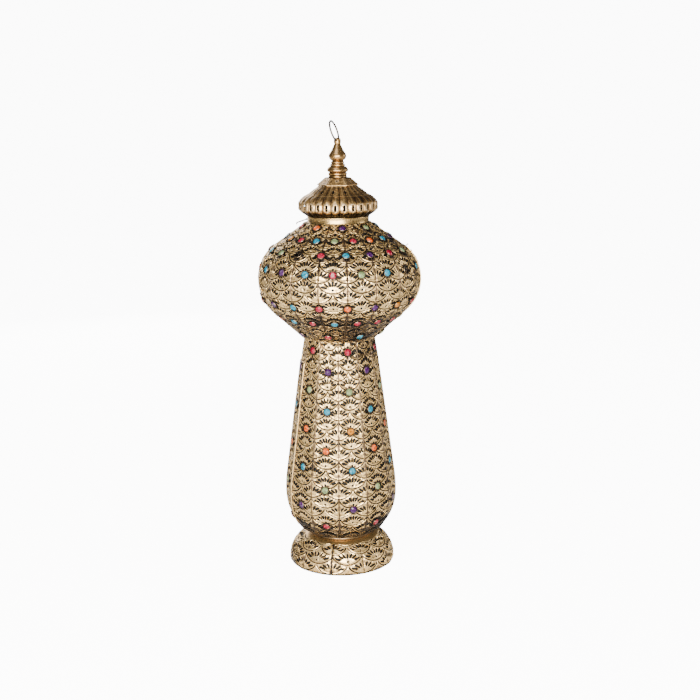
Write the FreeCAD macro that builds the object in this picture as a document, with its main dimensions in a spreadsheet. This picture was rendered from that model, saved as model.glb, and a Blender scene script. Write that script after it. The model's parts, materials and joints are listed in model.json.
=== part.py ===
import FreeCAD, Part
import math
import os

import Sketcher

# Candle lantern in millimetres. +Z is up and the origin is the middle of the surface that the foot stands on.
# A bearing is an angle about Z from the front (-Y) towards +X. An outline is a list of (radius, height) points.

DIMENSIONS = {
    # sheet metal and panels
    "sheet_wall": 1.2,
    "column_sides": 12,
    "body_sides": 18,
    "body_turn": 8.3,
    # foot
    "foot_radius": 108.5,
    "foot_straight": 6,
    "foot_arc": 52.3,
    "foot_top_radius": 62,
    "foot_height": 58,
    "hem_inner_radius": 98,
    "hem_height": 3,
    "collar_radius": 66,
    "collar_bore_radius": 60.5,
    "collar_arc": 5,
    # column
    "column_neck_radius": 62,
    "column_bottom": 66,
    "column_belly_radius": 113.6,
    "column_belly_height": 150,
    "column_shoulder_rise": 40,
    "column_slope": 0.136,
    "column_bend_height": 440,
    "column_top_radius": 69.4,
    "column_top": 484,
    # upper body
    "body_foot_radius": 74,
    "body_bottom": 478,
    "belly_centre_radius": 80.1,
    "belly_centre_height": 596,
    "belly_arc": 83.1,
    "neck_radius": 64,
    "neck_height": 709.2,
    # doors
    "door_gap": 1.0,
    "door_lap": 4,
    "column_door_bearing": -120,
    "column_door_sweep": 60,
    "column_door_bottom": 90,
    "column_door_height": 338,
    "upper_door_bearing": 88.3,
    "upper_door_sweep": 40,
    "upper_door_bottom": 511,
    "upper_door_height": 146,
    "hinge_setback": 1.6,
    # candle plates and cups
    "plate_thickness": 1.5,
    "column_plate_radius": 93.3,
    "column_plate_height": 88,
    "upper_plate_radius": 78.6,
    "cup_radius": 21,
    "cup_wall": 1.0,
    "cup_height": 16,
    # neck ring and cap
    "ring_radius": 58.6,
    "ring_bore_radius": 57.2,
    "ring_flange_radius": 66.4,
    "ring_bottom": 704,
    "ring_top": 715,
    "band_radius": 61.5,
    "band_bore_radius": 60.3,
    "band_bottom": 709.6,
    "band_top": 722.4,
    "rim_centre_radius": 60,
    "rim_centre_height": 742,
    "rim_arc": 19.6,
    "dome_top_radius": 38,
    "dome_top": 782,
    "cone_radius": 39.5,
    "cone_base": 782.2,
    "cone_ridge": 1.8,
    "cone_top_radius": 25,
    "cone_top": 797.6,
    "cone_hole_radius": 4,
    "rivet_radius": 1.6,
    # finial and hanging ring
    "bead_top": 819,
    "rod_radius": 2.9,
    "rod_bore_radius": 2.98,
    "rod_bottom": 786,
    "rod_length": 46,
    "nut_radius": 5.8,
    "nut_height": 5,
    "knob_turn": -14.5,
    "eye_height": 868.5,
    "eye_radius": 2.1,
    "loop_radius": 20.5,
    "loop_wire": 1.0,
    "loop_lean": 18.7,
    # hinges
    "knuckle_radius": 2.2,
    "knuckle_bore": 1.15,
    "pin_radius": 1.1,
    "pin_head_radius": 1.9,
    "pin_head": 0.8,
    "column_knuckle": 11,
    "upper_knuckle": 5,
    "cap_knuckle": 8,
    "knuckle_gap": 0.4,
    "axis_offset": 3.0,
    "flap_width": 9,
    "cap_axis_radius": 66.5,
    "cap_axis_height": 712,
    "flap_thickness": 1.2,
    "flap_seat": 0.02,
    # latches
    "hook_length": 15,
    "hook_wire": 0.6,
    "hook_eye_radius": 2.7,
    "hook_eye_bore": 1.3,
    "hook_eye_thickness": 1.0,
    "hook_curl": 2.4,
    "stud_radius": 1.22,
    "stud_foot_radius": 2.2,
    "stud_foot": 0.8,
    "stud_head_radius": 2.3,
    "stud_head": 0.8,
    "catch_radius": 1.0,
    "catch_height": 6.4,
    "cap_hook_reach": 21,
    "cap_hook_wire": 0.8,
    "cap_hook_curl": 2.2,
    "cap_hook_lift": 16.7,
    "cap_hook_pin": 0.8,
    "staple_radius": 2.9,
    "staple_wire": 0.7,
    "staple_height": 697.6,
    # gems
    "gem_radius": 6.9,
    "gem_table_radius": 4.2,
    "gem_height": 3.4,
    "cup_bezel_radius": 8.1,
    "cup_bezel_height": 3.0,
    "cup_bezel_floor": 0.8,
    "column_first_gem": 60,
    "column_gem_pitch": 39.8,
}

# Gem colours by letter. A dash is a cup that has lost its gem, and a dot is a place with no cup.
GEM_COLOURS = {
    "r": "red",
    "o": "orange",
    "a": "amber",
    "g": "green",
    "c": "cyan",
    "p": "purple",
}
# The colours of each row of the column, from the lowest row up, repeated all round.
COLUMN_ROWS = ["r", "p", "g", "c", "o", "oooaoo", "c", "g", "p", "r"]
# Rows of the upper body: (run up the panel, half panels from a seam to the first gem, half panels between gems,
# colours of the gems, repeated all round from the panel left of the front).
BODY_ROWS = [
    (22.6, -2, 4, "rcgporcap"),
    (71.5, -5, 2, "crcrrrgpo"),
    (116.4, -8, 2, "opcroparg"),
    (182.0, -7, 2, "cpcrgc-cocpcrgcpco"),
    (223.0, -8, 2, "cg-rcprgocgrocprga"),
    (262.0, -9, 2, "carcgrocp"),
    (299.0, -8, 4, "ropgcr.pg"),
]

doc = FreeCAD.newDocument("CandleLantern")
sheet = doc.addObject("Spreadsheet::Sheet", "Dimensions")
for row, (alias, size) in enumerate(DIMENSIONS.items(), start=1):
    sheet.set(f"A{row}", alias)
    sheet.set(f"B{row}", str(size))
    sheet.setAlias(f"B{row}", alias)
doc.recompute()

sub_parts = []


def dim(alias):
    """The number that a cell of the sheet holds."""
    return float(sheet.get(alias))


def named(alias):
    """How an expression names a cell of the sheet."""
    return f"Dimensions.{alias}"


def sub_part(shape_object, label):
    """Names an object's file and takes it into the list of what is written."""
    shape_object.Label = label
    sub_parts.append(shape_object)
    return shape_object


def bind(target, **expressions):
    """Ties properties of an object to expressions of the sheet."""
    for name, expression in expressions.items():
        target.setExpression(name, expression)
    return target


def primitive(kind, placement=None, **expressions):
    """A Part primitive whose sizes follow the sheet."""
    made = doc.addObject(f"Part::{kind}", kind)
    if placement is not None:
        made.Placement = placement
    return bind(made, **expressions)


def fuse(pieces):
    made = doc.addObject("Part::MultiFuse", "Fuse")
    made.Shapes = pieces
    return made


def cut(base, tool):
    made = doc.addObject("Part::Cut", "Cut")
    made.Base = base
    made.Tool = tool
    return made


def common(base, tool):
    made = doc.addObject("Part::Common", "Common")
    made.Base = base
    made.Tool = tool
    return made


def group(pieces):
    made = doc.addObject("Part::Compound", "Group")
    made.Links = pieces
    return made


def fixed_shape(shape):
    """An object that holds a shape made with Part's own functions."""
    made = doc.addObject("Part::Feature", "Shape")
    made.Shape = shape
    return made


# Directions and frames on the lantern's skin


def radial(bearing):
    angle = math.radians(bearing)
    return FreeCAD.Vector(math.sin(angle), -math.cos(angle), 0)


def around(bearing):
    angle = math.radians(bearing)
    return FreeCAD.Vector(math.cos(angle), math.sin(angle), 0)


def at(bearing, radius, height):
    return radial(bearing) * radius + FreeCAD.Vector(0, 0, height)


def frame(origin, x_axis, y_axis, z_axis):
    """The placement whose local axes are these three."""
    matrix = FreeCAD.Matrix()
    for column, vector in enumerate((x_axis, y_axis, z_axis), start=1):
        for line, number in enumerate(vector, start=1):
            setattr(matrix, f"A{line}{column}", number)
    for line, number in enumerate(origin, start=1):
        setattr(matrix, f"A{line}4", number)
    return FreeCAD.Placement(matrix)


def lift(distance):
    return FreeCAD.Placement(FreeCAD.Vector(0, 0, distance), FreeCAD.Rotation())


def slide_along(x=0, y=0, z=0):
    return FreeCAD.Placement(FreeCAD.Vector(x, y, z), FreeCAD.Rotation())


def turn_about(axis, degrees):
    return FreeCAD.Placement(FreeCAD.Vector(), FreeCAD.Rotation(FreeCAD.Vector(*axis), degrees))


X_AXIS = (1, 0, 0)
Y_AXIS = (0, 1, 0)
Z_AXIS = (0, 0, 1)


# Outlines of the faceted shells. The radius of an outline is that of the panels' corners.


def column_outline():
    """From the neck up: a quarter ellipse, a shoulder arc, and two straight stretches."""
    neck = dim("column_neck_radius")
    belly = dim("column_belly_radius")
    belly_height = dim("column_belly_height")
    drop = belly_height - dim("column_bottom")
    points = []
    ellipse_steps = 8
    for step in range(ellipse_steps + 1):
        angle = math.radians(90 * (1 - step / ellipse_steps))
        points.append((neck + (belly - neck) * math.cos(angle), belly_height - drop * math.sin(angle)))
    slope_angle = math.atan(dim("column_slope"))
    arc = dim("column_shoulder_rise") / math.sin(slope_angle)
    arc_steps = 3
    for step in range(1, arc_steps + 1):
        angle = slope_angle * step / arc_steps
        points.append((belly - arc * (1 - math.cos(angle)), belly_height + arc * math.sin(angle)))
    radius, height = points[-1]
    bend = dim("column_bend_height")
    points.append((radius - dim("column_slope") * (bend - height), bend))
    points.append((dim("column_top_radius"), dim("column_top")))
    return points


def body_outline():
    """From the foot up: a straight cone, the belly's arc tangent to both cones, and the cone up to the neck."""
    centre_radius = dim("belly_centre_radius")
    centre_height = dim("belly_centre_height")
    arc = dim("belly_arc")
    ends = (
        (dim("body_foot_radius"), dim("body_bottom")),
        (dim("neck_radius"), dim("neck_height")),
    )
    angles = []
    for (radius, height), side in zip(ends, (1, -1)):
        across = radius - centre_radius
        up = height - centre_height
        spread = math.acos(arc / math.hypot(across, up))
        angles.append(math.atan2(up, across) + side * spread)
    points = [ends[0]]
    arc_steps = 9
    for step in range(arc_steps + 1):
        angle = angles[0] + (angles[1] - angles[0]) * step / arc_steps
        points.append((centre_radius + arc * math.cos(angle), centre_height + arc * math.sin(angle)))
    points.append(ends[1])
    return points


def offset_outline(points, distance, sides):
    """The outline of panels that lie this far outside the given ones."""
    narrow = math.cos(math.pi / sides)
    flat = [(radius * narrow, height) for radius, height in points]
    normals = []
    for (radius_a, height_a), (radius_b, height_b) in zip(flat, flat[1:]):
        run = math.hypot(radius_b - radius_a, height_b - height_a)
        normals.append(((height_b - height_a) / run, (radius_a - radius_b) / run))
    before = [normals[0]] + normals
    after = normals + [normals[-1]]
    moved = []
    for (radius, height), one, two in zip(flat, before, after):
        scale = distance / (1 + one[0] * two[0] + one[1] * two[1])
        moved.append(((radius + scale * (one[0] + two[0])) / narrow, height + scale * (one[1] + two[1])))
    return moved


def faceted_ring(section, sides, turn):
    """A closed section of (radius, height) points swept round as flat panels, one corner at the bearing turn."""
    corners = []
    for side in range(sides):
        bearing = turn + 360 * side / sides
        corners.append([at(bearing, radius, height) for radius, height in section])
    faces = []
    for side in range(sides):
        here = corners[side]
        there = corners[(side + 1) % sides]
        for low in range(len(section)):
            high = (low + 1) % len(section)
            outline = [here[low], there[low], there[high], here[high], here[low]]
            faces.append(Part.Face(Part.makePolygon(outline)))
    solid = Part.makeSolid(Part.makeShell(faces))
    if solid.Volume < 0:
        solid.reverse()
    return solid


def sheet_section(outline, inner, outer, sides):
    """The section of a sheet whose faces lie at two distances outside an outline."""
    return offset_outline(outline, outer, sides) + offset_outline(outline, inner, sides)[::-1]


def spot(outline, run, sides, on_corner):
    """(radius, height, upward direction across and up) at a run along the outline, on a panel or on a corner."""
    narrow = 1 if on_corner else math.cos(math.pi / sides)
    left = run
    for (radius_a, height_a), (radius_b, height_b) in zip(outline, outline[1:]):
        length = math.hypot(radius_b - radius_a, height_b - height_a)
        if left <= length:
            break
        left -= length
    share = left / length
    across = (radius_b - radius_a) * narrow
    up = height_b - height_a
    size = math.hypot(across, up)
    radius = (radius_a + (radius_b - radius_a) * share) * narrow
    return radius, height_a + up * share, across / size, up / size


def skin_frame(outline, run, sides, bearing, on_corner, proud=0):
    """Local X round the lantern, Y up the panel and Z out of it, at a run along the outline."""
    radius, height, across, up = spot(outline, run, sides, on_corner)
    out = radial(bearing) * up + FreeCAD.Vector(0, 0, -across)
    upward = radial(bearing) * across + FreeCAD.Vector(0, 0, up)
    origin = at(bearing, radius, height) + out * proud
    return frame(origin, around(bearing), upward, out)


def run_at_height(outline, height):
    """The run along an outline at which it reaches a height."""
    run = 0
    for (radius_a, height_a), (radius_b, height_b) in zip(outline, outline[1:]):
        length = math.hypot(radius_b - radius_a, height_b - height_a)
        if height <= height_b:
            return run + length * (height - height_a) / (height_b - height_a)
        run += length
    return run


# Turned pieces


def turned(label, profile, hole=None):
    """A body turned about Z. The profile's points are pairs of expressions (radius, height), each followed by
    None for a straight side to the next point, or by an expression for an arc's radius, which bulges outward.
    hole is a pair of expressions, the radius and the height of a hole bored across the body along Y."""
    body = doc.addObject("PartDesign::Body", f"Body_{label}")
    plane = [item for item in body.Origin.OriginFeatures if item.Role == "XZ_Plane"][0]
    sketch = body.newObject("Sketcher::SketchObject", f"Profile_{label}")
    sketch.AttachmentSupport = [(plane, "")]
    sketch.MapMode = "FlatFace"
    corners = []
    for radius, height, _ in profile:
        corners.append(FreeCAD.Vector(evaluate(radius), evaluate(height), 0))
    count = len(profile)
    ends = []
    for index, (_, _, arc) in enumerate(profile):
        start = corners[index]
        finish = corners[(index + 1) % count]
        if arc is None:
            sketch.addGeometry(Part.LineSegment(start, finish))
            ends.append((1, 2))
            continue
        middle = arc_middle(start, finish, evaluate(arc))
        sketch.addGeometry(Part.ArcOfCircle(start, middle, finish))
        # a sketch always counts an arc's ends anticlockwise
        anticlockwise = (middle - start).cross(finish - start).z > 0
        ends.append((1, 2) if anticlockwise else (2, 1))
    for index in range(count):
        after = (index + 1) % count
        joint = Sketcher.Constraint("Coincident", index, ends[index][1], after, ends[after][0])
        sketch.addConstraint(joint)
    for index, (radius, height, arc) in enumerate(profile):
        spots = (("DistanceX", radius, corners[index].x, "radius"), ("DistanceY", height, corners[index].y, "height"))
        for kind, expression, number, word in spots:
            constraint = Sketcher.Constraint(kind, -1, 1, index, ends[index][0], number)
            bind_constraint(sketch, constraint, f"{word}_{index}", expression)
        if arc is not None:
            bind_constraint(sketch, Sketcher.Constraint("Radius", index, evaluate(arc)), f"arc_{index}", arc)
    turning = body.newObject("PartDesign::Revolution", f"Turning_{label}")
    turning.Profile = sketch
    turning.ReferenceAxis = (sketch, ["V_Axis"])
    turning.Angle = 360
    sketch.Visibility = False
    if hole is not None:
        bore_across(body, label, plane, *hole)
    return sub_part(body, label)


def bore_across(body, label, plane, radius, height):
    """A round hole right through a turned body, along Y."""
    doc.recompute()
    before = body.Shape.Volume
    sketch = body.newObject("Sketcher::SketchObject", f"Hole_{label}")
    sketch.AttachmentSupport = [(plane, "")]
    sketch.MapMode = "FlatFace"
    centre = FreeCAD.Vector(0, evaluate(height), 0)
    sketch.addGeometry(Part.Circle(centre, FreeCAD.Vector(0, 0, 1), evaluate(radius)))
    sketch.addConstraint(Sketcher.Constraint("PointOnObject", 0, 3, -2))
    bind_constraint(sketch, Sketcher.Constraint("DistanceY", -1, 1, 0, 3, centre.y), "hole_height", height)
    bind_constraint(sketch, Sketcher.Constraint("Radius", 0, evaluate(radius)), "hole_radius", radius)
    pocket = body.newObject("PartDesign::Pocket", f"Bore_{label}")
    pocket.Profile = sketch
    pocket.Type = "ThroughAll"
    pocket.Midplane = True
    doc.recompute()
    if body.Shape.Volume >= before:
        raise ValueError(f"the hole across {label} cuts nothing")


def bind_constraint(sketch, constraint, name, expression):
    number = sketch.addConstraint(constraint)
    sketch.renameConstraint(number, name)
    sketch.setExpression(f"Constraints.{name}", expression)


def evaluate(expression):
    """The number that an expression of the sheet gives."""
    result = sheet.evalExpression(expression.replace("Dimensions.", ""))
    return float(getattr(result, "Value", result))


def arc_middle(start, finish, radius):
    """The middle of an arc between two points, on the side away from the Z axis."""
    chord = finish - start
    half = chord.Length / 2
    normal = FreeCAD.Vector(chord.y, -chord.x, 0).normalize()
    if normal.x < 0:
        normal = normal * -1
    rise = radius - math.sqrt(radius * radius - half * half)
    return (start + finish) * 0.5 + normal * rise


def rectangle_profile(inner, outer, low, high):
    return [(inner, low, None), (outer, low, None), (outer, high, None), (inner, high, None)]


# Foot


def make_foot():
    wall = named("sheet_wall")
    radius = named("foot_radius")
    straight = named("foot_straight")
    top_radius = named("foot_top_radius")
    top = named("foot_height")
    arc = named("foot_arc")
    profile = [
        (f"{radius} - {wall}", "0", None),
        (radius, "0", None),
        (radius, straight, arc),
        (top_radius, top, None),
        (top_radius, f"{top} - {wall}", f"{arc} - {wall}"),
        (f"{radius} - {wall}", straight, None),
    ]
    turned("foot_shell", profile)
    hem = rectangle_profile(named("hem_inner_radius"), f"{radius} - {wall}", "0", named("hem_height"))
    turned("foot_hem", hem)
    bore = named("collar_bore_radius")
    low = named("foot_height")
    high = named("column_bottom")
    outside = f"{named('collar_radius')} - 2"
    collar = [
        (bore, low, None),
        (outside, low, named("collar_arc")),
        (outside, high, None),
        (bore, high, None),
    ]
    turned("neck_collar", collar)


# Shells and doors


def sector(bearing, sweep, low, tall):
    """A wedge of space from one bearing through a sweep, between two heights, all expressions."""
    reach = "200"
    wedge = primitive("Cylinder", Radius=reach, Height=tall, Angle=sweep)
    wedge.Placement = FreeCAD.Placement(
        FreeCAD.Vector(0, 0, evaluate(low)),
        FreeCAD.Rotation(FreeCAD.Vector(*Z_AXIS), evaluate(bearing) - 90),
    )
    bind(wedge, **{"Placement.Base.z": low, "Placement.Rotation.Angle": f"{bearing} - 90"})
    return wedge


def make_shell_and_door(shell, door, outline, sides, turn, prefix, rear_first):
    """A faceted shell with a doorway, and the leaf that laps over the doorway's edges from outside."""
    wall = dim("sheet_wall")
    whole = fixed_shape(faceted_ring(sheet_section(outline, -wall, 0, sides), sides, turn))
    bearing = named(f"{prefix}_bearing")
    sweep = named(f"{prefix}_sweep")
    low = named(f"{prefix}_bottom")
    tall = named(f"{prefix}_height")
    setback = named("hinge_setback")
    lap = named("door_lap")
    lap_angle = "2"
    doorway = sector(f"{bearing} + {setback} + {lap_angle}", f"{sweep} - 2 * {setback} - 2 * {lap_angle}",
                     f"{low} + {lap}", f"{tall} - 2 * {lap}")
    sub_part(cut(whole, doorway), shell)
    gap = dim("door_gap")
    skin = fixed_shape(faceted_ring(sheet_section(outline, gap, gap + wall, sides), sides, turn))
    first = f"{bearing} + {setback}" if rear_first else bearing
    leaf_space = sector(first, f"{sweep} - {setback}", low, tall)
    sub_part(common(skin, leaf_space), door)


def make_column():
    sides = int(dim("column_sides"))
    make_shell_and_door("column_shell", "column_door", column_outline(), sides, 0, "column_door", True)


def make_upper_body():
    sides = int(dim("body_sides"))
    turn = dim("body_turn")
    make_shell_and_door("upper_body_shell", "upper_door", body_outline(), sides, turn, "upper_door", False)


# Hinges


def door_hinge_frame(outline, sides, bearing, height):
    """The hinge's axis as local Z, local X out of the lantern, at a height on the door's rear corner."""
    skin = skin_frame(outline, run_at_height(outline, height), sides, bearing, True, dim("axis_offset"))
    return skin * turn_about((1, 1, 1), -120)


def barrel(place, shift, knuckle):
    return primitive("Cylinder", place * lift(shift), Radius=named("knuckle_radius"), Height=named(knuckle))


def plate(place, x, y, z, length, width, height):
    """A box from a corner in a local frame. The last three are expressions."""
    return primitive("Box", place * slide_along(x=x, y=y, z=z), Length=length, Width=width, Height=height)


def bored(pieces, place, shift, knuckle):
    """A knuckle's pieces in one, with the pin's bore through them."""
    bore = primitive("Cylinder", place * lift(shift - 1), Radius=named("knuckle_bore"),
                     Height=f"{named(knuckle)} + 2")
    return cut(fuse(pieces), bore)


def door_knuckle(place, shift, knuckle, side, fold, stand_off):
    """A knuckle with a flap to one side, folded down onto its panel, which it meets at a stand-off."""
    folded = place * turn_about(Z_AXIS, side * fold)
    near = stand_off + dim("flap_seat") - dim("axis_offset") * math.cos(math.radians(fold))
    start = 0 if side > 0 else -dim("flap_width")
    flap = plate(folded, near, start, shift, named("flap_thickness"), named("flap_width"), named(knuckle))
    return bored([barrel(place, shift, knuckle), flap], place, shift, knuckle)


def knuckle_shifts(knuckle):
    """Where the three knuckles of a hinge begin along its axis."""
    step = dim(knuckle) + dim("knuckle_gap")
    lowest = -1.5 * dim(knuckle) - dim("knuckle_gap")
    return lowest, lowest + step, lowest + 2 * step


def pin(place, knuckle):
    lowest = knuckle_shifts(knuckle)[0]
    length = f"3 * {named(knuckle)} + 2 * {named('knuckle_gap')}"
    shaft = primitive("Cylinder", place * lift(lowest), Radius=named("pin_radius"), Height=length)
    head = primitive("Cylinder", place * lift(-lowest), Radius=named("pin_head_radius"), Height=named("pin_head"))
    return fuse([shaft, head])


def door_hinge(prefix, places, leaf_side, fold):
    """Hinges of three knuckles on a pin: the outer two belong to the frame, the middle one to the leaf."""
    knuckle = f"{prefix}_knuckle"
    low, middle, high = knuckle_shifts(knuckle)
    proud = dim("door_gap") + dim("sheet_wall")
    frame_knuckles = []
    leaf_knuckles = []
    for place in places:
        frame_knuckles.append(door_knuckle(place, low, knuckle, -leaf_side, fold, 0))
        frame_knuckles.append(door_knuckle(place, high, knuckle, -leaf_side, fold, 0))
        leaf_knuckles.append(door_knuckle(place, middle, knuckle, leaf_side, fold, proud))
    sub_part(group(frame_knuckles), f"{prefix}_hinge_frame_knuckles")
    sub_part(group(leaf_knuckles), f"{prefix}_hinge_leaf_knuckles")
    sub_part(group([pin(place, knuckle) for place in places]), f"{prefix}_hinge_pins")


def column_hinge_places():
    outline = column_outline()
    sides = int(dim("column_sides"))
    bearing = dim("column_door_bearing")
    return [door_hinge_frame(outline, sides, bearing, height) for height in (215, 375)]


def upper_hinge_place():
    """On the belly's facet nearest to upright."""
    bearing = dim("upper_door_bearing") + dim("upper_door_sweep")
    height = dim("belly_centre_height") + 5
    return door_hinge_frame(body_outline(), int(dim("body_sides")), bearing, height)


def cap_hinge_place():
    """Behind the cap: local X out of the lantern, local Y up and the hinge's axis as local Z."""
    bearing = dim("body_turn") + 170
    origin = at(bearing, dim("cap_axis_radius"), dim("cap_axis_height"))
    return frame(origin, radial(bearing), FreeCAD.Vector(*Z_AXIS), radial(bearing).cross(FreeCAD.Vector(*Z_AXIS)))


def flap_fold(sides, slope):
    """The angle in degrees by which a panel turns away from the plane across its corner, on a sloping wall."""
    return math.degrees(math.asin(math.sin(math.pi / sides) * math.cos(math.atan(slope))))


def make_door_hinges():
    door_hinge("column", column_hinge_places(), 1, flap_fold(dim("column_sides"), dim("column_slope")))
    door_hinge("upper", [upper_hinge_place()], -1, flap_fold(dim("body_sides"), 0))


def make_cap_hinge():
    """The leaf's flap goes up the band, and each frame knuckle stands on a foot on the shoulder's panel."""
    place = cap_hinge_place()
    knuckle = "cap_knuckle"
    low, middle, high = knuckle_shifts(knuckle)
    thick = named("flap_thickness")
    half = dim("flap_thickness") / 2
    reach = dim("cap_axis_radius") - dim("band_radius")
    web = plate(place, -reach, -half, middle, str(reach), thick, named(knuckle))
    flap = plate(place, -reach, -half, middle, thick, named("flap_width"), named(knuckle))
    leaf = bored([barrel(place, middle, knuckle), web, flap], place, middle, knuckle)
    frame_knuckles = []
    slope = shoulder_slope()
    tilted = place * turn_about(Z_AXIS, slope)
    drop = height_over_shoulder(dim("cap_axis_radius"), dim("cap_axis_height"))
    foot = 3.4
    for shift in (low, high):
        leg = plate(tilted, -half, -drop, shift, thick, str(drop), named(knuckle))
        sole = plate(tilted, -half, -drop, shift, str(foot), thick, named(knuckle))
        frame_knuckles.append(bored([barrel(place, shift, knuckle), leg, sole], place, shift, knuckle))
    sub_part(group(frame_knuckles), "cap_hinge_frame_knuckles")
    sub_part(leaf, "cap_hinge_leaf_knuckle")
    sub_part(pin(place, knuckle), "cap_hinge_pin")


def shoulder_slope():
    """The angle by which a panel of the shoulder falls outward, negative, in degrees."""
    outline = body_outline()
    _, _, across, up = spot(outline, run_at_height(outline, 700), int(dim("body_sides")), False)
    return math.degrees(math.atan2(up, across)) - 180


def height_over_shoulder(radius, height):
    """How far a point on a panel's middle line is above the shoulder."""
    outline = body_outline()
    foot_radius, foot_height, across, up = spot(outline, run_at_height(outline, 700), int(dim("body_sides")), False)
    return (radius - foot_radius) * up - (height - foot_height) * across


# Latches


def latch(prefix, outline, sides, bearing, sideways, height, sink):
    """A hook on a pivot stud near the leaf's top edge. It hangs down at rest, and turned up it takes the catch
    stud, which is riveted through the shell above the leaf."""
    proud = dim("door_gap") + dim("sheet_wall")
    run = run_at_height(outline, height)
    pivot = skin_frame(outline, run, sides, bearing, False, proud) * slide_along(x=sideways)
    foot = primitive("Cylinder", pivot, Radius=named("stud_foot_radius"), Height=named("stud_foot"))
    eye_room = 1.5
    shank = primitive("Cylinder", pivot, Radius=named("stud_radius"),
                      Height=f"{named('stud_foot')} + {eye_room} + {named('stud_head')}")
    head = primitive("Cylinder", pivot * lift(dim("stud_foot") + eye_room), Radius=named("stud_head_radius"),
                     Height=named("stud_head"))
    sub_part(fuse([foot, shank, head]), f"{prefix}_latch_pivot")
    eye_gap = 0.15
    hook_plane = pivot * lift(dim("stud_foot") + eye_gap) * turn_about(Z_AXIS, 180)
    sub_part(hook(hook_plane), f"{prefix}_latch_hook")
    catch = pivot * slide_along(y=dim("hook_length"), z=-proud)
    post = primitive("Cylinder", catch * lift(-sink), Radius=named("catch_radius"),
                     Height=f"{named('catch_height')} + {sink}")
    knob = primitive("Cylinder", catch * lift(dim("catch_height")), Radius=f"{named('catch_radius')} + 0.8",
                     Height="0.8")
    sub_part(fuse([post, knob]), f"{prefix}_latch_stud")


def hook(place):
    """An eye, a straight shank along local Y and a curled end, whose mouth faces local -X."""
    thickness = named("hook_eye_thickness")
    eye = primitive("Cylinder", place, Radius=named("hook_eye_radius"), Height=thickness)
    mid = place * lift(dim("hook_eye_thickness") / 2)
    reach = dim("hook_length") - dim("hook_curl")
    start = dim("hook_eye_bore") + 0.5
    shank_place = mid * slide_along(y=start) * turn_about(X_AXIS, -90)
    shank = primitive("Cylinder", shank_place, Radius=named("hook_wire"), Height=str(reach - start))
    curl_place = mid * slide_along(y=dim("hook_length")) * turn_about(Z_AXIS, -90)
    # the curl starts a little inside the shank's end
    curl_place = curl_place * turn_about(Z_AXIS, -4)
    curl = primitive("Torus", curl_place, Radius1=named("hook_curl"), Radius2=named("hook_wire"), Angle3="204")
    bore = primitive("Cylinder", place * lift(-1), Radius=named("hook_eye_bore"), Height=f"{thickness} + 2")
    return cut(fuse([eye, shank, curl]), bore)


def make_latches():
    wall = dim("sheet_wall")
    # the upper shell curves away below the catch stud, so its post is longer
    curve = 1.6
    latch("column", column_outline(), int(dim("column_sides")), -75, 14.5, 418.5, wall)
    latch("upper", body_outline(), int(dim("body_sides")), dim("upper_door_bearing") + 10, -14.5, 648, wall + curve)


# Candle plates and cups


def make_candle_holders():
    thickness = named("plate_thickness")
    for prefix, low in (("column", named("column_plate_height")), ("upper", named("column_top"))):
        plate = primitive("Cylinder", None, Radius=named(f"{prefix}_plate_radius"), Height=thickness)
        plate.Placement = lift(evaluate(low))
        bind(plate, **{"Placement.Base.z": low})
        sub_part(plate, f"{prefix}_candle_plate")
        floor = f"{low} + {thickness}"
        inner = f"{named('cup_radius')} - {named('cup_wall')}"
        profile = [
            ("0", floor, None),
            (named("cup_radius"), floor, None),
            (named("cup_radius"), f"{floor} + {named('cup_height')}", None),
            (inner, f"{floor} + {named('cup_height')}", None),
            (inner, f"{floor} + {named('cup_wall')}", None),
            ("0", f"{floor} + {named('cup_wall')}", None),
        ]
        turned(f"{prefix}_candle_cup", profile)


# Cap and finial


def make_neck_ring():
    flange = 1.2
    bore = named("ring_bore_radius")
    low = named("ring_bottom")
    profile = [
        (bore, low, None),
        (named("ring_flange_radius"), low, None),
        (named("ring_flange_radius"), f"{low} + {flange}", None),
        (named("ring_radius"), f"{low} + {flange}", None),
        (named("ring_radius"), named("ring_top"), None),
        (bore, named("ring_top"), None),
    ]
    turned("neck_ring", profile)


def rim_tangent(arc):
    """Where a straight side from the dome's top meets the rim's arc of a given radius."""
    across = dim("dome_top_radius") - dim("rim_centre_radius")
    up = dim("dome_top") - dim("rim_centre_height")
    angle = math.atan2(up, across) - math.acos(dim("rim_arc") / math.hypot(across, up))
    return arc * math.cos(angle), arc * math.sin(angle)


def make_cap():
    band = rectangle_profile(named("band_bore_radius"), named("band_radius"), named("band_bottom"),
                             named("band_top"))
    turned("cap_band", band)
    centre = named("rim_centre_radius")
    height = named("rim_centre_height")
    arc = named("rim_arc")
    wall = named("sheet_wall")
    across, up = rim_tangent(dim("rim_arc"))
    inner_across, inner_up = rim_tangent(dim("rim_arc") - dim("sheet_wall"))
    top_radius = named("dome_top_radius")
    top = named("dome_top")
    dome = [
        (centre, f"{height} - {arc}", arc),
        (f"{centre} + {across}", f"{height} + {up}", None),
        (top_radius, top, None),
        (f"{top_radius} - {wall}", f"{top} - {wall}", None),
        (f"{centre} + {inner_across}", f"{height} + {inner_up}", f"{arc} - {wall}"),
        (centre, f"{height} - {arc} + {wall}", None),
    ]
    turned("cap_dome", dome)
    wall_size = dim("sheet_wall")
    base = dim("cone_base")
    ridge = base + dim("cone_ridge")
    tip = dim("cone_top")
    section = [
        (dim("cone_radius"), base),
        (dim("cone_radius"), ridge),
        (dim("cone_top_radius"), tip),
        (dim("cone_hole_radius"), tip),
        (dim("cone_hole_radius"), tip - wall_size),
        (dim("cone_top_radius") - wall_size, tip - wall_size),
        (dim("cone_radius") - 2 * wall_size, base),
    ]
    sides = 6
    sub_part(fixed_shape(faceted_ring(section, sides, 180 / sides)), "cap_cone")


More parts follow.
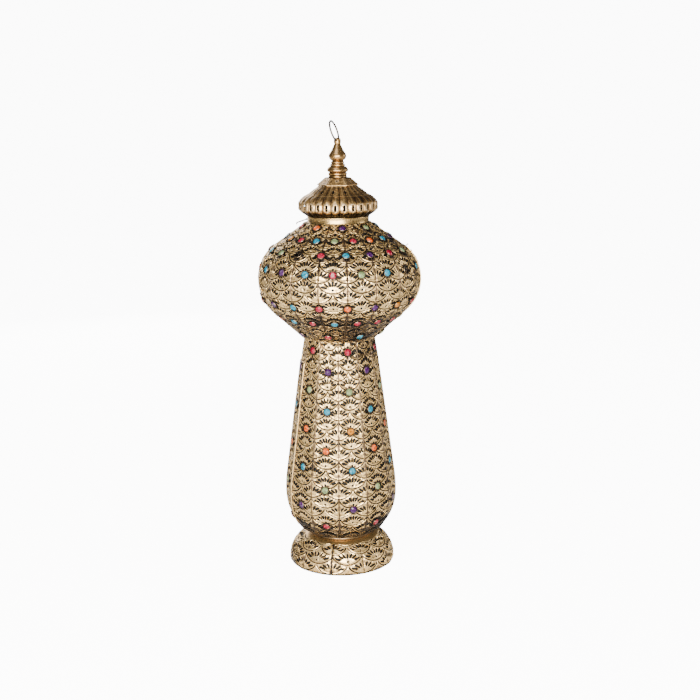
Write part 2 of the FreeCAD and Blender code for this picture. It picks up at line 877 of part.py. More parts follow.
def make_band_rivets():
    rivets = []
    for bearing in (-47, -35):
        place = frame(at(bearing, dim("band_radius"), dim("band_bottom") + 6), around(bearing),
                      FreeCAD.Vector(*Z_AXIS), radial(bearing))
        rivet = primitive("Sphere", place, Radius=named("rivet_radius"), Angle1="0")
        rivets.append(rivet)
    sub_part(group(rivets), "band_rivets")


def make_finial():
    base = named("cone_top")
    top = named("bead_top")
    bore = named("rod_bore_radius")
    bead = [
        (bore, base, None),
        ("18.4", base, None),
        ("18.4", f"{base} + 1.8", None),
        ("17.2", f"{base} + 2.4", "3.4"),
        ("17.2", f"{base} + 8.6", None),
        ("18", f"{base} + 9.2", "7"),
        ("15.4", top, None),
        (bore, top, None),
    ]
    turned("finial_bead", bead)
    socket = f"{named('rod_bottom')} + {named('rod_length')}"
    spire = [
        (bore, top, None),
        ("13", top, "3.3"),
        ("12", f"{top} + 5.8", "2.9"),
        ("12", f"{top} + 11", "9"),
        ("12.6", f"{top} + 26.6", None),
        ("8.4", f"{top} + 34", None),
        ("5.8", f"{top} + 43.6", None),
        ("6.4", f"{top} + 44.6", None),
        ("6.4", f"{top} + 52.2", "2.4"),
        ("4.2", f"{top} + 54.6", None),
        ("0", f"{top} + 55.2", None),
        ("0", socket, None),
        (bore, socket, None),
    ]
    spire_body = turned("finial_spire", spire, hole=(named("eye_radius"), named("eye_height")))
    spire_body.Placement = turn_about(Z_AXIS, dim("knob_turn"))
    spire_body.setExpression("Placement.Rotation.Angle", named("knob_turn"))
    rod = primitive("Cylinder", lift(dim("rod_bottom")), Radius=named("rod_radius"), Height=named("rod_length"))
    sub_part(rod, "finial_rod")
    nut_bottom = dim("cone_top") - dim("sheet_wall") - dim("nut_height")
    blank = primitive("Prism", lift(nut_bottom), Circumradius=named("nut_radius"), Height=named("nut_height"))
    blank.Polygon = 6
    bore_tool = primitive("Cylinder", lift(nut_bottom - 1), Radius=named("rod_bore_radius"),
                          Height=f"{named('nut_height')} + 2")
    sub_part(cut(blank, bore_tool), "finial_nut")


def make_hanging_ring():
    """Stands up through the knob's eye and leans to the left about the eye's axis."""
    eye = FreeCAD.Placement(FreeCAD.Vector(0, 0, dim("eye_height")), FreeCAD.Rotation())
    # the wire bends inside the eye, so its middle rides half the bend's rise below the eye's axis
    bend = 0.45
    upright = slide_along(z=dim("loop_radius") - bend) * turn_about(Y_AXIS, 90)
    place = eye * turn_about(Z_AXIS, dim("knob_turn")) * turn_about(Y_AXIS, -dim("loop_lean")) * upright
    ring = primitive("Torus", place, Radius1=named("loop_radius"), Radius2=named("loop_wire"))
    sub_part(ring, "hanging_ring")


# The cap's hook: a wire on a small bracket at the left of the band, raised off its staple on the shoulder


def cap_hook_places():
    """The staple's place on the shoulder, and the pin's with local X along it and local Y along the closed hook."""
    outline = body_outline()
    bearing = dim("body_turn") - 110
    staple = skin_frame(outline, run_at_height(outline, dim("staple_height")), int(dim("body_sides")), bearing, False)
    rise = dim("staple_radius") + dim("cap_hook_curl")
    closed = staple * slide_along(y=dim("cap_hook_reach"), z=rise) * turn_about(Z_AXIS, 180)
    return bearing, staple, closed


def make_cap_hook():
    bearing, staple, closed = cap_hook_places()
    wire = named("cap_hook_wire")
    curl_radius = dim("cap_hook_curl")
    reach = dim("cap_hook_reach")
    # the pin runs along local X, and a turn about it lifts the hook
    place = closed * turn_about(X_AXIS, dim("cap_hook_lift"))
    eye_half = 1.2
    eye = primitive("Cylinder", place * slide_along(x=-eye_half) * turn_about(Y_AXIS, 90), Radius="1.9",
                    Height=str(2 * eye_half))
    shank = primitive("Cylinder", place * slide_along(y=1.2) * turn_about(X_AXIS, -90), Radius=wire,
                      Height=str(reach - 1.2))
    # the curl's own plane is local YZ: it starts over its middle and bends outward and down
    bend = 110
    curl_place = place * slide_along(y=reach, z=-curl_radius) * turn_about(Y_AXIS, 90) * turn_about(Z_AXIS, 180 - bend)
    curl = primitive("Torus", curl_place, Radius1=named("cap_hook_curl"), Radius2=wire, Angle3=str(bend))
    bore = primitive("Cylinder", place * slide_along(x=-3) * turn_about(Y_AXIS, 90),
                     Radius=f"{named('cap_hook_pin')} + 0.06", Height="6")
    sub_part(cut(fuse([eye, shank, curl]), bore), "cap_hook")
    arch = primitive("Torus", staple * turn_about(X_AXIS, 90), Radius1=named("staple_radius"),
                     Radius2=named("staple_wire"), Angle3="180")
    sub_part(arch, "cap_catch")
    level = frame(closed.Base, around(bearing), radial(bearing) * -1, FreeCAD.Vector(*Z_AXIS))
    pin_reach = radial(bearing).dot(closed.Base) - dim("band_radius")
    lug_gap = 1.5
    lug_width = 1.0
    lugs = []
    for shift in (lug_gap, -lug_gap - lug_width):
        lugs.append(plate(level, shift, -1.8, -1.6, str(lug_width), str(pin_reach + 1.8), "3.2"))
    hook_pin = primitive("Cylinder", level * slide_along(x=-lug_gap - lug_width) * turn_about(Y_AXIS, 90),
                         Radius=named("cap_hook_pin"), Height=str(2 * (lug_gap + lug_width)))
    sub_part(fuse(lugs + [hook_pin]), "cap_hook_bracket")


# Gems and their cups


def gem_blank():
    """A cut gem as a blank: its girdle at the bottom and its table on top."""
    return Part.makeCone(dim("gem_radius"), dim("gem_table_radius"), dim("gem_height"))


def cup_blank():
    """A bezel cup: a shallow round tray that the gem stands in."""
    radius = dim("cup_bezel_radius")
    height = dim("cup_bezel_height")
    floor = dim("cup_bezel_floor")
    tray = Part.makeCylinder(radius, height)
    room = Part.makeCylinder(dim("gem_radius") + 0.1, height, FreeCAD.Vector(0, 0, floor))
    return tray.cut(room)


def placed(blank, place):
    copy = blank.copy()
    copy.Placement = place
    return copy


def column_gem_places():
    """(colour letter, placement, bearing, height) of every gem of the column."""
    outline = column_outline()
    sides = int(dim("column_sides"))
    panel_sweep = 360 / sides
    for row, letters in enumerate(COLUMN_ROWS):
        run = dim("column_first_gem") + row * dim("column_gem_pitch")
        for number in range(sides // 2):
            bearing = panel_sweep * (2 * number + (row + 1) % 2 + 0.5) - 180
            letter = letters[number % len(letters)]
            height = spot(outline, run, sides, False)[1]
            proud = dim("door_gap") + dim("sheet_wall") if on_door("column_door", bearing, height) else 0
            yield letter, skin_frame(outline, run, sides, bearing, False, proud), bearing, height


def body_gem_places():
    """(colour letter, placement, bearing, height) of every gem of the upper body."""
    outline = body_outline()
    sides = int(dim("body_sides"))
    half = 180 / sides
    for run, first, step, letters in BODY_ROWS:
        for number in range(2 * sides // step):
            steps = first + step * number
            bearing = dim("body_turn") + half * steps
            on_corner = steps % 2 == 0
            height = spot(outline, run, sides, on_corner)[1]
            letter = letters[number % len(letters)]
            if letter == "." or on_door_edge("upper_door", bearing, height):
                continue
            proud = dim("door_gap") + dim("sheet_wall") if on_door("upper_door", bearing, height) else 0
            yield letter, skin_frame(outline, run, sides, bearing, on_corner, proud), bearing, height


def door_offset(prefix, bearing):
    """How far a bearing is past the door's first edge, in degrees from 0 to 360."""
    return (bearing - dim(f"{prefix}_bearing")) % 360


def on_door(prefix, bearing, height):
    low = dim(f"{prefix}_bottom")
    inside = 1 < door_offset(prefix, bearing) < dim(f"{prefix}_sweep") - 1
    return inside and low < height < low + dim(f"{prefix}_height")


def on_door_edge(prefix, bearing, height):
    """Whether a gem would sit across an edge of the door, where there is none."""
    margin = 9
    low = dim(f"{prefix}_bottom")
    high = low + dim(f"{prefix}_height")
    offset = door_offset(prefix, bearing)
    sweep = dim(f"{prefix}_sweep")
    near_side = min(abs(offset), abs(offset - 360), abs(offset - sweep)) < 5
    beside = low - margin < height < high + margin
    if near_side and beside:
        return True
    inside = 0 < offset < sweep
    return inside and (abs(height - low) < margin or abs(height - high) < margin)


def make_gems():
    gem = gem_blank()
    cup = cup_blank()
    seat = lift(dim("cup_bezel_floor") + 0.05)
    groups = {}
    for prefix, places in (("column", column_gem_places()), ("upper", body_gem_places())):
        for letter, place, bearing, height in places:
            moving = on_door(f"{prefix}_door", bearing, height)
            owner = f"{prefix}_door" if moving else "lantern"
            groups.setdefault(f"{owner}_gem_cups", []).append(placed(cup, place))
            if letter != "-":
                colour = GEM_COLOURS[letter]
                groups.setdefault(f"{owner}_gems_{colour}", []).append(placed(gem, place * seat))
    for label, solids in groups.items():
        sub_part(fixed_shape(Part.makeCompound(solids)), label)


def check(item):
    bad = [state for state in item.State if state in ("Invalid", "Error")]
    if bad:
        raise ValueError(f"{item.Label} is {bad}")


def write_parts():
    os.makedirs("parts", exist_ok=True)
    doc.recompute()
    for item in doc.Objects:
        check(item)
    for item in sub_parts:
        shape = item.Shape
        if shape.isNull() or not shape.isValid() or not shape.Solids:
            raise ValueError(f"{item.Label} has no valid shape")
    for item in sub_parts:
        item.Shape.exportStep(os.path.join("parts", f"{item.Label}.step"))
        print(item.Label, len(item.Shape.Solids), round(item.Shape.Volume))


make_foot()
make_column()
make_upper_body()
make_door_hinges()
make_latches()
make_candle_holders()
make_neck_ring()
make_cap()
make_band_rivets()
make_finial()
make_hanging_ring()
make_cap_hinge()
make_cap_hook()
make_gems()
write_parts()
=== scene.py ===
import json
import math
import random

import bmesh
import bpy
import numpy as np
from mathutils import Matrix, Vector
from mathutils.geometry import delaunay_2d_cdt


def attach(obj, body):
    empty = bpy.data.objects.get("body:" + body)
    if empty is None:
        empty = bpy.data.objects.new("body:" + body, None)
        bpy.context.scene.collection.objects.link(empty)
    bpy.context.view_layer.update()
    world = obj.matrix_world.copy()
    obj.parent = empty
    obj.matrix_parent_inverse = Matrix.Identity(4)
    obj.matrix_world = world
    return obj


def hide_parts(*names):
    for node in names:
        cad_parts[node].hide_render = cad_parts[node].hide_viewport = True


# Jewelled candle lantern. Sizes in this script are millimetres and degrees; build() turns them into metres.
# A bearing is an angle about Z from the front (-Y) towards +X. A run is a length up a shell's corner line.

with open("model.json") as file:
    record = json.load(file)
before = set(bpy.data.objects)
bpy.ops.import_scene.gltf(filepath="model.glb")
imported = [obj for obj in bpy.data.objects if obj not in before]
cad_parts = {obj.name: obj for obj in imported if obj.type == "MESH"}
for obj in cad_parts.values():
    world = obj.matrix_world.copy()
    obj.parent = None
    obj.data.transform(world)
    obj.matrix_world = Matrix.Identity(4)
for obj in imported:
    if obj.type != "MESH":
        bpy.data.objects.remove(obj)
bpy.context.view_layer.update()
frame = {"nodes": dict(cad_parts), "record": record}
random.seed(11)
MM = 0.001


# ---------------- outlines of the shells


def arc_points(centre, radius, start, end, steps):
    """Points (radius, height) on an arc between two angles."""
    points = []
    for step in range(steps + 1):
        angle = start + (end - start) * step / steps
        points.append((centre[0] + radius * math.cos(angle), centre[1] + radius * math.sin(angle)))
    return points


def column_points():
    """A quarter ellipse, a shoulder arc and two straight stretches up to the upper body."""
    base_radius, base_height = 62, 66
    belly_radius, belly_height = 113.6, 150
    shoulder_rise, slope, slope_top = 40, 0.136, 440
    top_radius, top_height = 69.4, 484
    steps = 24
    points = []
    for step in range(steps + 1):
        angle = math.pi / 2 * (1 - step / steps)
        radius = base_radius + (belly_radius - base_radius) * math.cos(angle)
        points.append((radius, belly_height - (belly_height - base_height) * math.sin(angle)))
    turn = math.atan(slope)
    bend = shoulder_rise / math.sin(turn)
    points += arc_points((belly_radius - bend, belly_height), bend, 0, turn, 6)[1:]
    radius, height = points[-1]
    points.append((radius - slope * (slope_top - height), slope_top))
    points.append((top_radius, top_height))
    return points


def body_points():
    """A cone, the belly's arc tangent to both cones, and a cone up to the neck."""
    centre, radius = (80.1, 596), 83.1
    ends = ((74, 478), (64, 709.2))
    angles = []
    for (across, up), side in zip(ends, (1, -1)):
        across, up = across - centre[0], up - centre[1]
        angles.append(math.atan2(up, across) + side * math.acos(radius / math.hypot(across, up)))
    return [ends[0]] + arc_points(centre, radius, angles[0], angles[1], 30) + [ends[1]]


def foot_points():
    """A short upright rim and one arc over to the collar."""
    rim_radius, arc_rise = 108.5, 52
    centre, radius = (56.2, 6), 52.3
    return [(rim_radius, 0)] + arc_points(centre, radius, 0, math.asin(arc_rise / radius), 24)


def spline(before, start, end, after, t):
    """A share t of the way from start to end, on a smooth curve that passes their neighbours too."""
    square = (2 * before - 5 * start + 4 * end - after) * t ** 2
    cube = (3 * start - before - 3 * end + after) * t ** 3
    return 0.5 * (2 * start + (end - before) * t + square + cube)


def smooth_points(points, steps=6):
    """A smooth curve through a few points."""
    padded = [points[0]] + list(points) + [points[-1]]
    curve = []
    for a, b, c, d in zip(padded, padded[1:], padded[2:], padded[3:]):
        for step in range(steps):
            curve.append(tuple(spline(*corners, step / steps) for corners in zip(a, b, c, d)))
    return curve + [tuple(points[-1])]


def around(radius, angle, height):
    """Points at an angle about Z from the front."""
    return np.column_stack([radius * np.sin(angle), -radius * np.cos(angle), height])


class Meridian:
    """A shell's outline by its run, as the corners of flat panels or, with no sides, as a round shell."""

    def __init__(self, points, sides=None):
        self.points = np.array(points, float)
        self.sides = sides
        self.narrow = math.cos(math.pi / sides) if sides else 1
        steps = np.hypot(*np.diff(self.points, axis=0).T)
        self.runs = np.concatenate([[0], np.cumsum(steps)])
        self.length = self.runs[-1]
        flat = self.points * [self.narrow, 1]
        along = np.gradient(flat, self.runs, axis=0)
        along /= np.hypot(*along.T)[:, None]
        self.out = np.column_stack([along[:, 1], -along[:, 0]])

    def radius(self, run):
        return np.interp(run, self.runs, self.points[:, 0])

    def height(self, run):
        return np.interp(run, self.runs, self.points[:, 1])

    def run_at(self, height):
        return float(np.interp(height, self.points[:, 1], self.runs))

    def half_width(self, run):
        """Half of a flat panel's width."""
        return self.radius(run) * math.sin(math.pi / self.sides)

    def normal(self, run):
        out = np.column_stack([np.interp(run, self.runs, self.out[:, i]) for i in (0, 1)])
        return out / np.hypot(*out.T)[:, None]

    def lifted(self, run, lift, narrow=1):
        """Radii and heights of points lifted off the outline."""
        normal = self.normal(run)
        return self.radius(run) * narrow + normal[:, 0] * lift, self.height(run) + normal[:, 1] * lift

    def flat_panel(self, across, run, lift, bearing):
        """Points of a flat panel: millimetres across it, the run up it and the height out of it."""
        radius, height = self.lifted(run, lift, self.narrow)
        angle = math.radians(bearing)
        x = radius * math.sin(angle) + across * math.cos(angle)
        y = -radius * math.cos(angle) + across * math.sin(angle)
        return np.column_stack([x, y, height])

    def round_gore(self, across, run, lift, bearing):
        """The same on a round shell."""
        radius, height = self.lifted(run, lift)
        return around(radius, math.radians(bearing) + across / np.maximum(self.radius(run), 1), height)


column = Meridian(column_points(), 12)
body = Meridian(body_points(), 18)
foot = Meridian(foot_points())


# ---------------- materials


class Nodes:
    """A short way to write the node tree of a material or a world."""

    def __init__(self, name, kind=bpy.data.materials, shader="Principled BSDF"):
        self.block = kind.new(name)
        self.block.use_nodes = True
        self.tree = self.block.node_tree
        self.shader = self.tree.nodes[shader]

    def add(self, kind, **settings):
        node = self.tree.nodes.new(f"ShaderNode{kind}")
        for key, setting in settings.items():
            if key in node.inputs:
                node.inputs[key].default_value = setting
            else:
                setattr(node, key, setting)
        return node

    def link(self, source, target):
        self.tree.links.new(source, target)

    def set(self, **values):
        for key, number in values.items():
            self.shader.inputs[key.replace("_", " ")].default_value = number
        return self

    def noise(self, scale, detail):
        noise = self.add("TexNoise", Scale=scale, Detail=detail)
        self.link(self.add("TexCoord").outputs["Object"], noise.inputs["Vector"])
        return noise.outputs["Fac"]

    def math(self, operation, a, b, clamp=False):
        node = self.add("Math", operation=operation, use_clamp=clamp)
        for socket, value in zip(node.inputs, (a, b)):
            if isinstance(value, (int, float)):
                socket.default_value = value
            else:
                self.link(value, socket)
        return node.outputs[0]

    def ramp(self, fac, *stops):
        node = self.add("ValToRGB")
        elements = node.color_ramp.elements
        while len(elements) < len(stops):
            elements.new(0.5)
        for element, (place, colour) in zip(elements, stops):
            element.position = place
            element.color = (*colour, 1)
        self.link(fac, node.inputs["Fac"])
        return node.outputs["Color"]

    def bump(self, height, strength, distance):
        node = self.add("Bump", Strength=strength, Distance=distance)
        self.link(height, node.inputs["Height"])
        self.link(node.outputs["Normal"], self.shader.inputs["Normal"])


def pale(colour, share):
    """A colour mixed with white."""
    return tuple(c + (1 - c) * share for c in colour)


def antique_gold(name, light, brown, dark, stain=1.0, rough=0.32, metallic=0.85):
    """Gold rubbed over dark sheet: bright where wear is high, dark in recesses and stained in patches. The
    wear value also carries painted shade and painted highlights.
    """
    nodes = Nodes(name)
    fine = nodes.noise(260, 5.0)
    patches = nodes.noise(13, 3.0)
    stored_wear_and_shading = nodes.add("Attribute", attribute_name="wear_and_shading").outputs["Fac"]
    wear_and_shading = nodes.math("ADD", stored_wear_and_shading, nodes.math("MULTIPLY", fine, 0.5))
    wear_and_shading = nodes.math("SUBTRACT", wear_and_shading, 0.25)
    shade = nodes.math("MULTIPLY", nodes.math("SUBTRACT", 0.46, patches), 2.2 * stain, clamp=True)
    wear_and_shading = nodes.math("SUBTRACT", wear_and_shading, shade, clamp=True)
    colour = nodes.ramp(wear_and_shading, (0.12, dark), (0.42, brown), (0.64, light), (0.95, pale(light, 0.2)))
    nodes.link(colour, nodes.shader.inputs["Base Color"])
    roughness = nodes.math("MULTIPLY", fine, 0.25)
    nodes.link(nodes.math("ADD", roughness, rough - 0.12), nodes.shader.inputs["Roughness"])
    nodes.bump(fine, 0.25, 0.0006)
    return nodes.set(Metallic=metallic).block


# The ramp's dark and brown stops show the patina in hollows and also the painted shade held in the wear
# values.
LIGHT_GOLD = (1.0, 0.67, 0.25)
BROWN_GOLD = (0.175, 0.116, 0.074)
DARK_PATINA_AND_SHADE = (0.012, 0.0095, 0.008)
gold = antique_gold("antique_gold", LIGHT_GOLD, BROWN_GOLD, DARK_PATINA_AND_SHADE)
BROWN_PATINA = (0.02, 0.012, 0.006)
cap_gold = antique_gold("cap_gold", (0.6, 0.38, 0.15), (0.22, 0.125, 0.05), BROWN_PATINA, stain=0.6)
polished = antique_gold("polished_gold", (0.72, 0.49, 0.2), (0.3, 0.18, 0.07), (0.03, 0.018, 0.01),
                        stain=0.5, rough=0.26, metallic=0.95)
finial_gold = antique_gold("finial_gold", (0.4, 0.23, 0.075), (0.2, 0.105, 0.035), BROWN_PATINA,
                           stain=0.7, rough=0.3, metallic=0.95)
bare = Nodes("bare_inside").set(Metallic=0.6, Roughness=0.5, Base_Color=(0.1, 0.09, 0.08, 1)).block
dark_metal = antique_gold("dark_metal", (0.3, 0.195, 0.105), (0.13, 0.083, 0.042), (0.02, 0.013, 0.008))
wire = Nodes("wire").set(Metallic=1.0, Roughness=0.35, Base_Color=(0.1, 0.085, 0.07, 1)).block
# The bezel's colours are dark as painted shadow: the dark ring round each stone.
bezel = antique_gold("bezel", (0.34, 0.24, 0.14), (0.07, 0.05, 0.035), (0.008, 0.007, 0.006), stain=0.3)
# The walls behind the pierced panels: near black outside as painted shade seen through the slots, brown on
# their inner faces.
wall = antique_gold("dark_wall", (0.14, 0.11, 0.08), (0.07, 0.055, 0.04), (0.005, 0.004, 0.003),
                    stain=0.0, rough=0.6, metallic=0.5)


def gem_material(name, colour):
    """Foil-backed cut stone: glossy, with the colour broken by noise, a painted shimmer standing in for the
    foil's reflections.
    """
    nodes = Nodes(name)
    painted_shimmer = nodes.noise(230, 1.0)
    deep = tuple(c * 0.4 for c in colour)
    shades = nodes.ramp(painted_shimmer, (0.34, deep), (0.5, colour), (0.78, pale(colour, 0.08)))
    nodes.link(shades, nodes.shader.inputs["Base Color"])
    return nodes.set(Roughness=0.2, Specular_IOR_Level=0.25, Coat_Weight=0.45, Coat_Roughness=0.02).block


GEMS = {
    "red": (0.3, 0.0, 0.025),
    "orange": (0.62, 0.09, 0.0),
    "amber": (0.5, 0.17, 0.0),
    "green": (0.2, 0.27, 0.12),
    "cyan": (0.0, 0.2, 0.32),
    "purple": (0.04, 0.0, 0.07),
}


# ---------------- pieces


def add_object(name, data):
    obj = bpy.data.objects.new(name, data)
    bpy.context.scene.collection.objects.link(obj)
    return obj


def smooth(obj, angle=None):
    """Smooth shading, except over edges sharper than an angle."""
    mesh = obj.data
    mesh.polygons.foreach_set("use_smooth", [True] * len(mesh.polygons))
    if angle is not None:
        mesh.set_sharp_from_angle(angle=math.radians(angle))


def build(name, points, faces, materials, riding, wear_and_shading=None, angle=None, thickness=None, replaced=()):
    """A mesh object from points in millimetres, riding a body."""
    mesh = bpy.data.meshes.new(name)
    mesh.from_pydata([Vector(p) * MM for p in points], [], faces)
    mesh.update()
    values = np.full(len(points), 0.55, np.float32) if wear_and_shading is None else np.asarray(wear_and_shading, np.float32)
    # The wear attribute holds real wear together with painted shade and painted highlights.
    mesh.attributes.new("wear_and_shading", "FLOAT", "POINT").data.foreach_set("value", values)
    obj = add_object(name, mesh)
    for material in materials:
        mesh.materials.append(material)
    if angle != "flat":
        smooth(obj, angle)
    if thickness:
        shell = obj.modifiers.new("thickness", "SOLIDIFY")
        shell.thickness = thickness * MM
        shell.offset = -1
        shell.use_even_offset = False
        shell.material_offset = len(materials) - 1
    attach(obj, riding)
    if replaced:
        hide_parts(*replaced)
    return obj


# ---------------- pierced and embossed sheet


BORDER_LIFT = 0.35


class Sheet:
    """A flat pattern of sheet metal, in millimetres across and up: holes, relief and a fine mesh between.

    left and right give its sides at a height. margins is its plain border's width: low, high, left, right.
    """

    CELL = 2.0
    SIDE_STEPS = 70

    def __init__(self, low, high, left, right, margins=(0, 0, 0, 0)):
        self.low, self.high, self.left, self.right, self.margins = low, high, left, right, margins
        self.border = max(margins) > 0
        self.points, self.marks, self.edges = [], [], []
        self.cells, self.slots = {}, []
        self.hole_count = 0
        sides = [low + (high - low) * step / self.SIDE_STEPS for step in range(self.SIDE_STEPS + 1)]
        outline = [(right(y), y) for y in sides] + [(left(y), y) for y in reversed(sides)]
        self.ring(outline, BORDER_LIFT if self.border else 0.0, 0.3, 0)

    def cell(self, point):
        return int(point[0] // self.CELL), int(point[1] // self.CELL)

    def add(self, point, lift, wear_and_shading, hole=0):
        """Places a point and returns its number."""
        self.points.append(point)
        self.marks.append((lift, wear_and_shading, hole))
        self.cells.setdefault(self.cell(point), []).append(point)
        return len(self.points) - 1

    def ring(self, points, lift, wear_and_shading, hole):
        """A closed outline: the sheet's own, or a hole's with the hole's number."""
        indices = [self.add(p, lift, wear_and_shading, hole) for p in points]
        self.edges += list(zip(indices, indices[1:] + indices[:1]))

    def within(self, point, inset):
        """Whether a point is on the sheet, clear of its edges."""
        x, y = point
        return self.low + inset < y < self.high - inset and self.left(y) + inset < x < self.right(y) - inset

    def inside(self, point, distance=0.0):
        """Whether a point is in the patterned part, clear of the plain border."""
        x, y = point
        low, high, left, right = (margin + distance for margin in self.margins)
        return self.low + low < y < self.high - high and self.left(y) + left < x < self.right(y) - right

    def near(self, point, distance):
        """Whether a placed point is closer than a distance."""
        across, up = self.cell(point)
        cells = [(across + i, up + j) for i in (-1, 0, 1) for j in (-1, 0, 1)]
        others = [other for cell in cells for other in self.cells.get(cell, ())]
        return any((x - point[0]) ** 2 + (y - point[1]) ** 2 < distance * distance for x, y in others)

    def clear_of_slots(self, point, margin):
        """Whether a point is outside every slot. Slots further off than the longest aren't measured."""
        longest = 16
        for start, end, reach in self.slots:
            if abs(point[1] - start[1]) < longest and segment_distance(point, start, end) < reach + margin:
                return False
        return True

    def slot(self, start, end, width_start, width_end, lip=0.5, depth=-0.35, brim=0.8):
        """A pierced slot with rounded ends and a raised lip, if there is room for it."""
        reach = max(width_start, width_end)
        middle = ((start[0] + end[0]) / 2, (start[1] + end[1]) / 2)
        for point in (start, middle, end):
            if not self.inside(point, reach + 0.5) or not self.clear_of_slots(point, reach + 0.5):
                return
        self.hole_count += 1
        self.ring(capsule(start, end, width_start, width_end), depth, 0.05, self.hole_count)
        # The lip is painted near white at full wear: rubbing on a raised edge, and a painted glint along
        # the slot's edge.
        for point in capsule(start, end, width_start + brim, width_end + brim):
            if self.inside(point, 0.3) and self.clear_of_slots(point, 0.3):
                self.add(point, lip, 1.0)
        self.slots.append((start, end, reach))

    def round_hole(self, x, y, radius, **shape):
        self.slot((x, y - 0.01), (x, y + 0.01), radius, radius, **shape)

    def line(self, points, lift, wear_and_shading, spacing=0.7):
        """A line of relief, broken where something is in its way."""
        before = None
        for point in points:
            free = self.inside(point, 0.4) and self.clear_of_slots(point, 0.5)
            if free and not self.near(point, spacing):
                index = self.add(point, lift, wear_and_shading)
                if before is not None:
                    self.edges.append((before, index))
                before = index
            else:
                before = None

    def fill(self, pitch):
        """The plain sheet between the relief, and the border."""
        rows = int((self.high - self.low) / pitch)
        for row in range(1, rows):
            y = self.low + row * pitch
            width = self.right(y) - self.left(y)
            count = max(int(width / pitch), 1)
            for number in range(count + 1):
                x = self.left(y) + width * (number + 0.5 * (row % 2)) / count + random.uniform(-0.3, 0.3)
                if not self.within((x, y), 0.7) or self.near((x, y), pitch * 0.55):
                    continue
                if self.border and not self.inside((x, y)):
                    self.add((x, y), BORDER_LIFT, random.uniform(0.6, 0.8))
                elif self.clear_of_slots((x, y), 0.7):
                    self.add((x, y), random.uniform(-0.1, 0.1), random.uniform(0.4, 0.62))

    def mesh(self):
        """(points across and up, lifts, wears, triangles) of the sheet."""
        flat = [Vector(p) for p in self.points]
        found, _, faces, origins, _, _ = delaunay_2d_cdt(flat, self.edges, [], 0, 1e-4)
        marks = [self.marks[origin[0]] if origin else (0.0, 0.3, 0) for origin in origins]
        kept = []
        for face in faces:
            holes = {marks[i][2] for i in face}
            if len(holes) == 1 and holes != {0}:
                continue
            centre = sum((found[i] for i in face), Vector((0, 0))) / 3
            if self.within(centre, -0.001):
                kept.append(tuple(face))
        lifts, wear_and_shading_values, _ = np.array(marks).T
        return np.array([tuple(p) for p in found]), lifts, wear_and_shading_values, kept


def segment_distance(point, start, end):
    """How far a point is from the line between two others."""
    ax, ay = start
    dx, dy = end[0] - ax, end[1] - ay
    length = dx * dx + dy * dy
    t = 0 if length == 0 else max(0, min(1, ((point[0] - ax) * dx + (point[1] - ay) * dy) / length))
    return math.hypot(point[0] - ax - t * dx, point[1] - ay - t * dy)


def capsule(start, end, width_start, width_end, steps=4):
    """The outline of a slot whose half-widths differ at its two ends."""
    angle = math.atan2(end[1] - start[1], end[0] - start[0])
    ends = ((end, width_end, angle - math.pi / 2), (start, width_start, angle + math.pi / 2))
    outline = []
    for centre, width, first in ends:
        for step in range(steps + 1):
            turn = first + math.pi * step / steps
            outline.append((centre[0] + width * math.cos(turn), centre[1] + width * math.sin(turn)))
    return outline


# The stamped pattern is rows of fans, staggered like scales, each fan's slots over its dot.
# It is drawn for a distance of HALF_PITCH from a fan to the next seam and stretched to fit a panel.
HALF_PITCH = 22.0
FAN_ANGLES = (-69, -46, -23, 0, 23, 46, 69)
SEAM_FAN_ANGLES = (-69, -46, -23, 23, 46, 69)
NARROW_SEAM_ANGLES = (-72, -35, 35, 72)
NARROW_STRETCH = 0.6
# The fan's outer edge is an ellipse about the dot. A slot lies between two distances inside it.
FAN_ACROSS, FAN_UP = 18.6, 15.8
SLOT_FROM, SLOT_TO = 8.3, 0.5
SLOT_INNER_HALF, SLOT_OUTER_HALF = 0.95, 1.2
DOT_RADIUS = 2.0
# The arcs under a fan are parts of circles centred above its dot, as (radius, lift, wear).
ARC_CENTRE = 15
ARC_LINES = ((22.2, -0.4, 0.0), (21.1, -0.4, 0.05), (23.4, 0.9, 1.0), (19.9, 0.7, 0.95))


def fan(sheet, x, y, stretch):
    """Slots fanned over a dot or, over a seam, without the middle slot and the dot."""
    on_seam = x != 0
    angles = SEAM_FAN_ANGLES if on_seam else FAN_ANGLES
    if stretch < NARROW_STRETCH:
        angles = NARROW_SEAM_ANGLES if on_seam else FAN_ANGLES[::2]
    for angle in angles:
        across, up = math.sin(math.radians(angle)), math.cos(math.radians(angle))
        reach = 1 / math.hypot(across / FAN_ACROSS, up / FAN_UP)
        inner = (x + stretch * across * (reach - SLOT_FROM), y + up * (reach - SLOT_FROM))
        outer = (x + stretch * across * (reach - SLOT_TO), y + up * (reach - SLOT_TO))
        outer_half = SLOT_OUTER_HALF + random.uniform(-0.12, 0.12)
        sheet.slot(inner, outer, SLOT_INNER_HALF, outer_half, lip=random.uniform(0.4, 0.9))
    if not on_seam:
        sheet.round_hole(x, y, DOT_RADIUS)


def emboss_arc(sheet, x, y, stretch):
    """The arcs under a fan: two scored lines between two raised ones."""
    for radius, lift, wear_and_shading in ARC_LINES:
        points = []
        for step in range(41):
            angle = math.radians(-72 + 3.6 * step)
            height = y + ARC_CENTRE - radius * math.cos(angle)
            points.append((x + stretch * radius * math.sin(angle), height))
        sheet.line(points, lift, wear_and_shading)


def emboss_rays(sheet, x, y, stretch):
    """Fine ribs from the dot out towards the slots."""
    for angle in range(-77, 78, 22):
        across, up = math.sin(math.radians(angle)), math.cos(math.radians(angle))
        sheet.line([(x + stretch * across * r, y + up * r) for r in (4.2, 5.4, 6.6)], 0.4, 0.75)


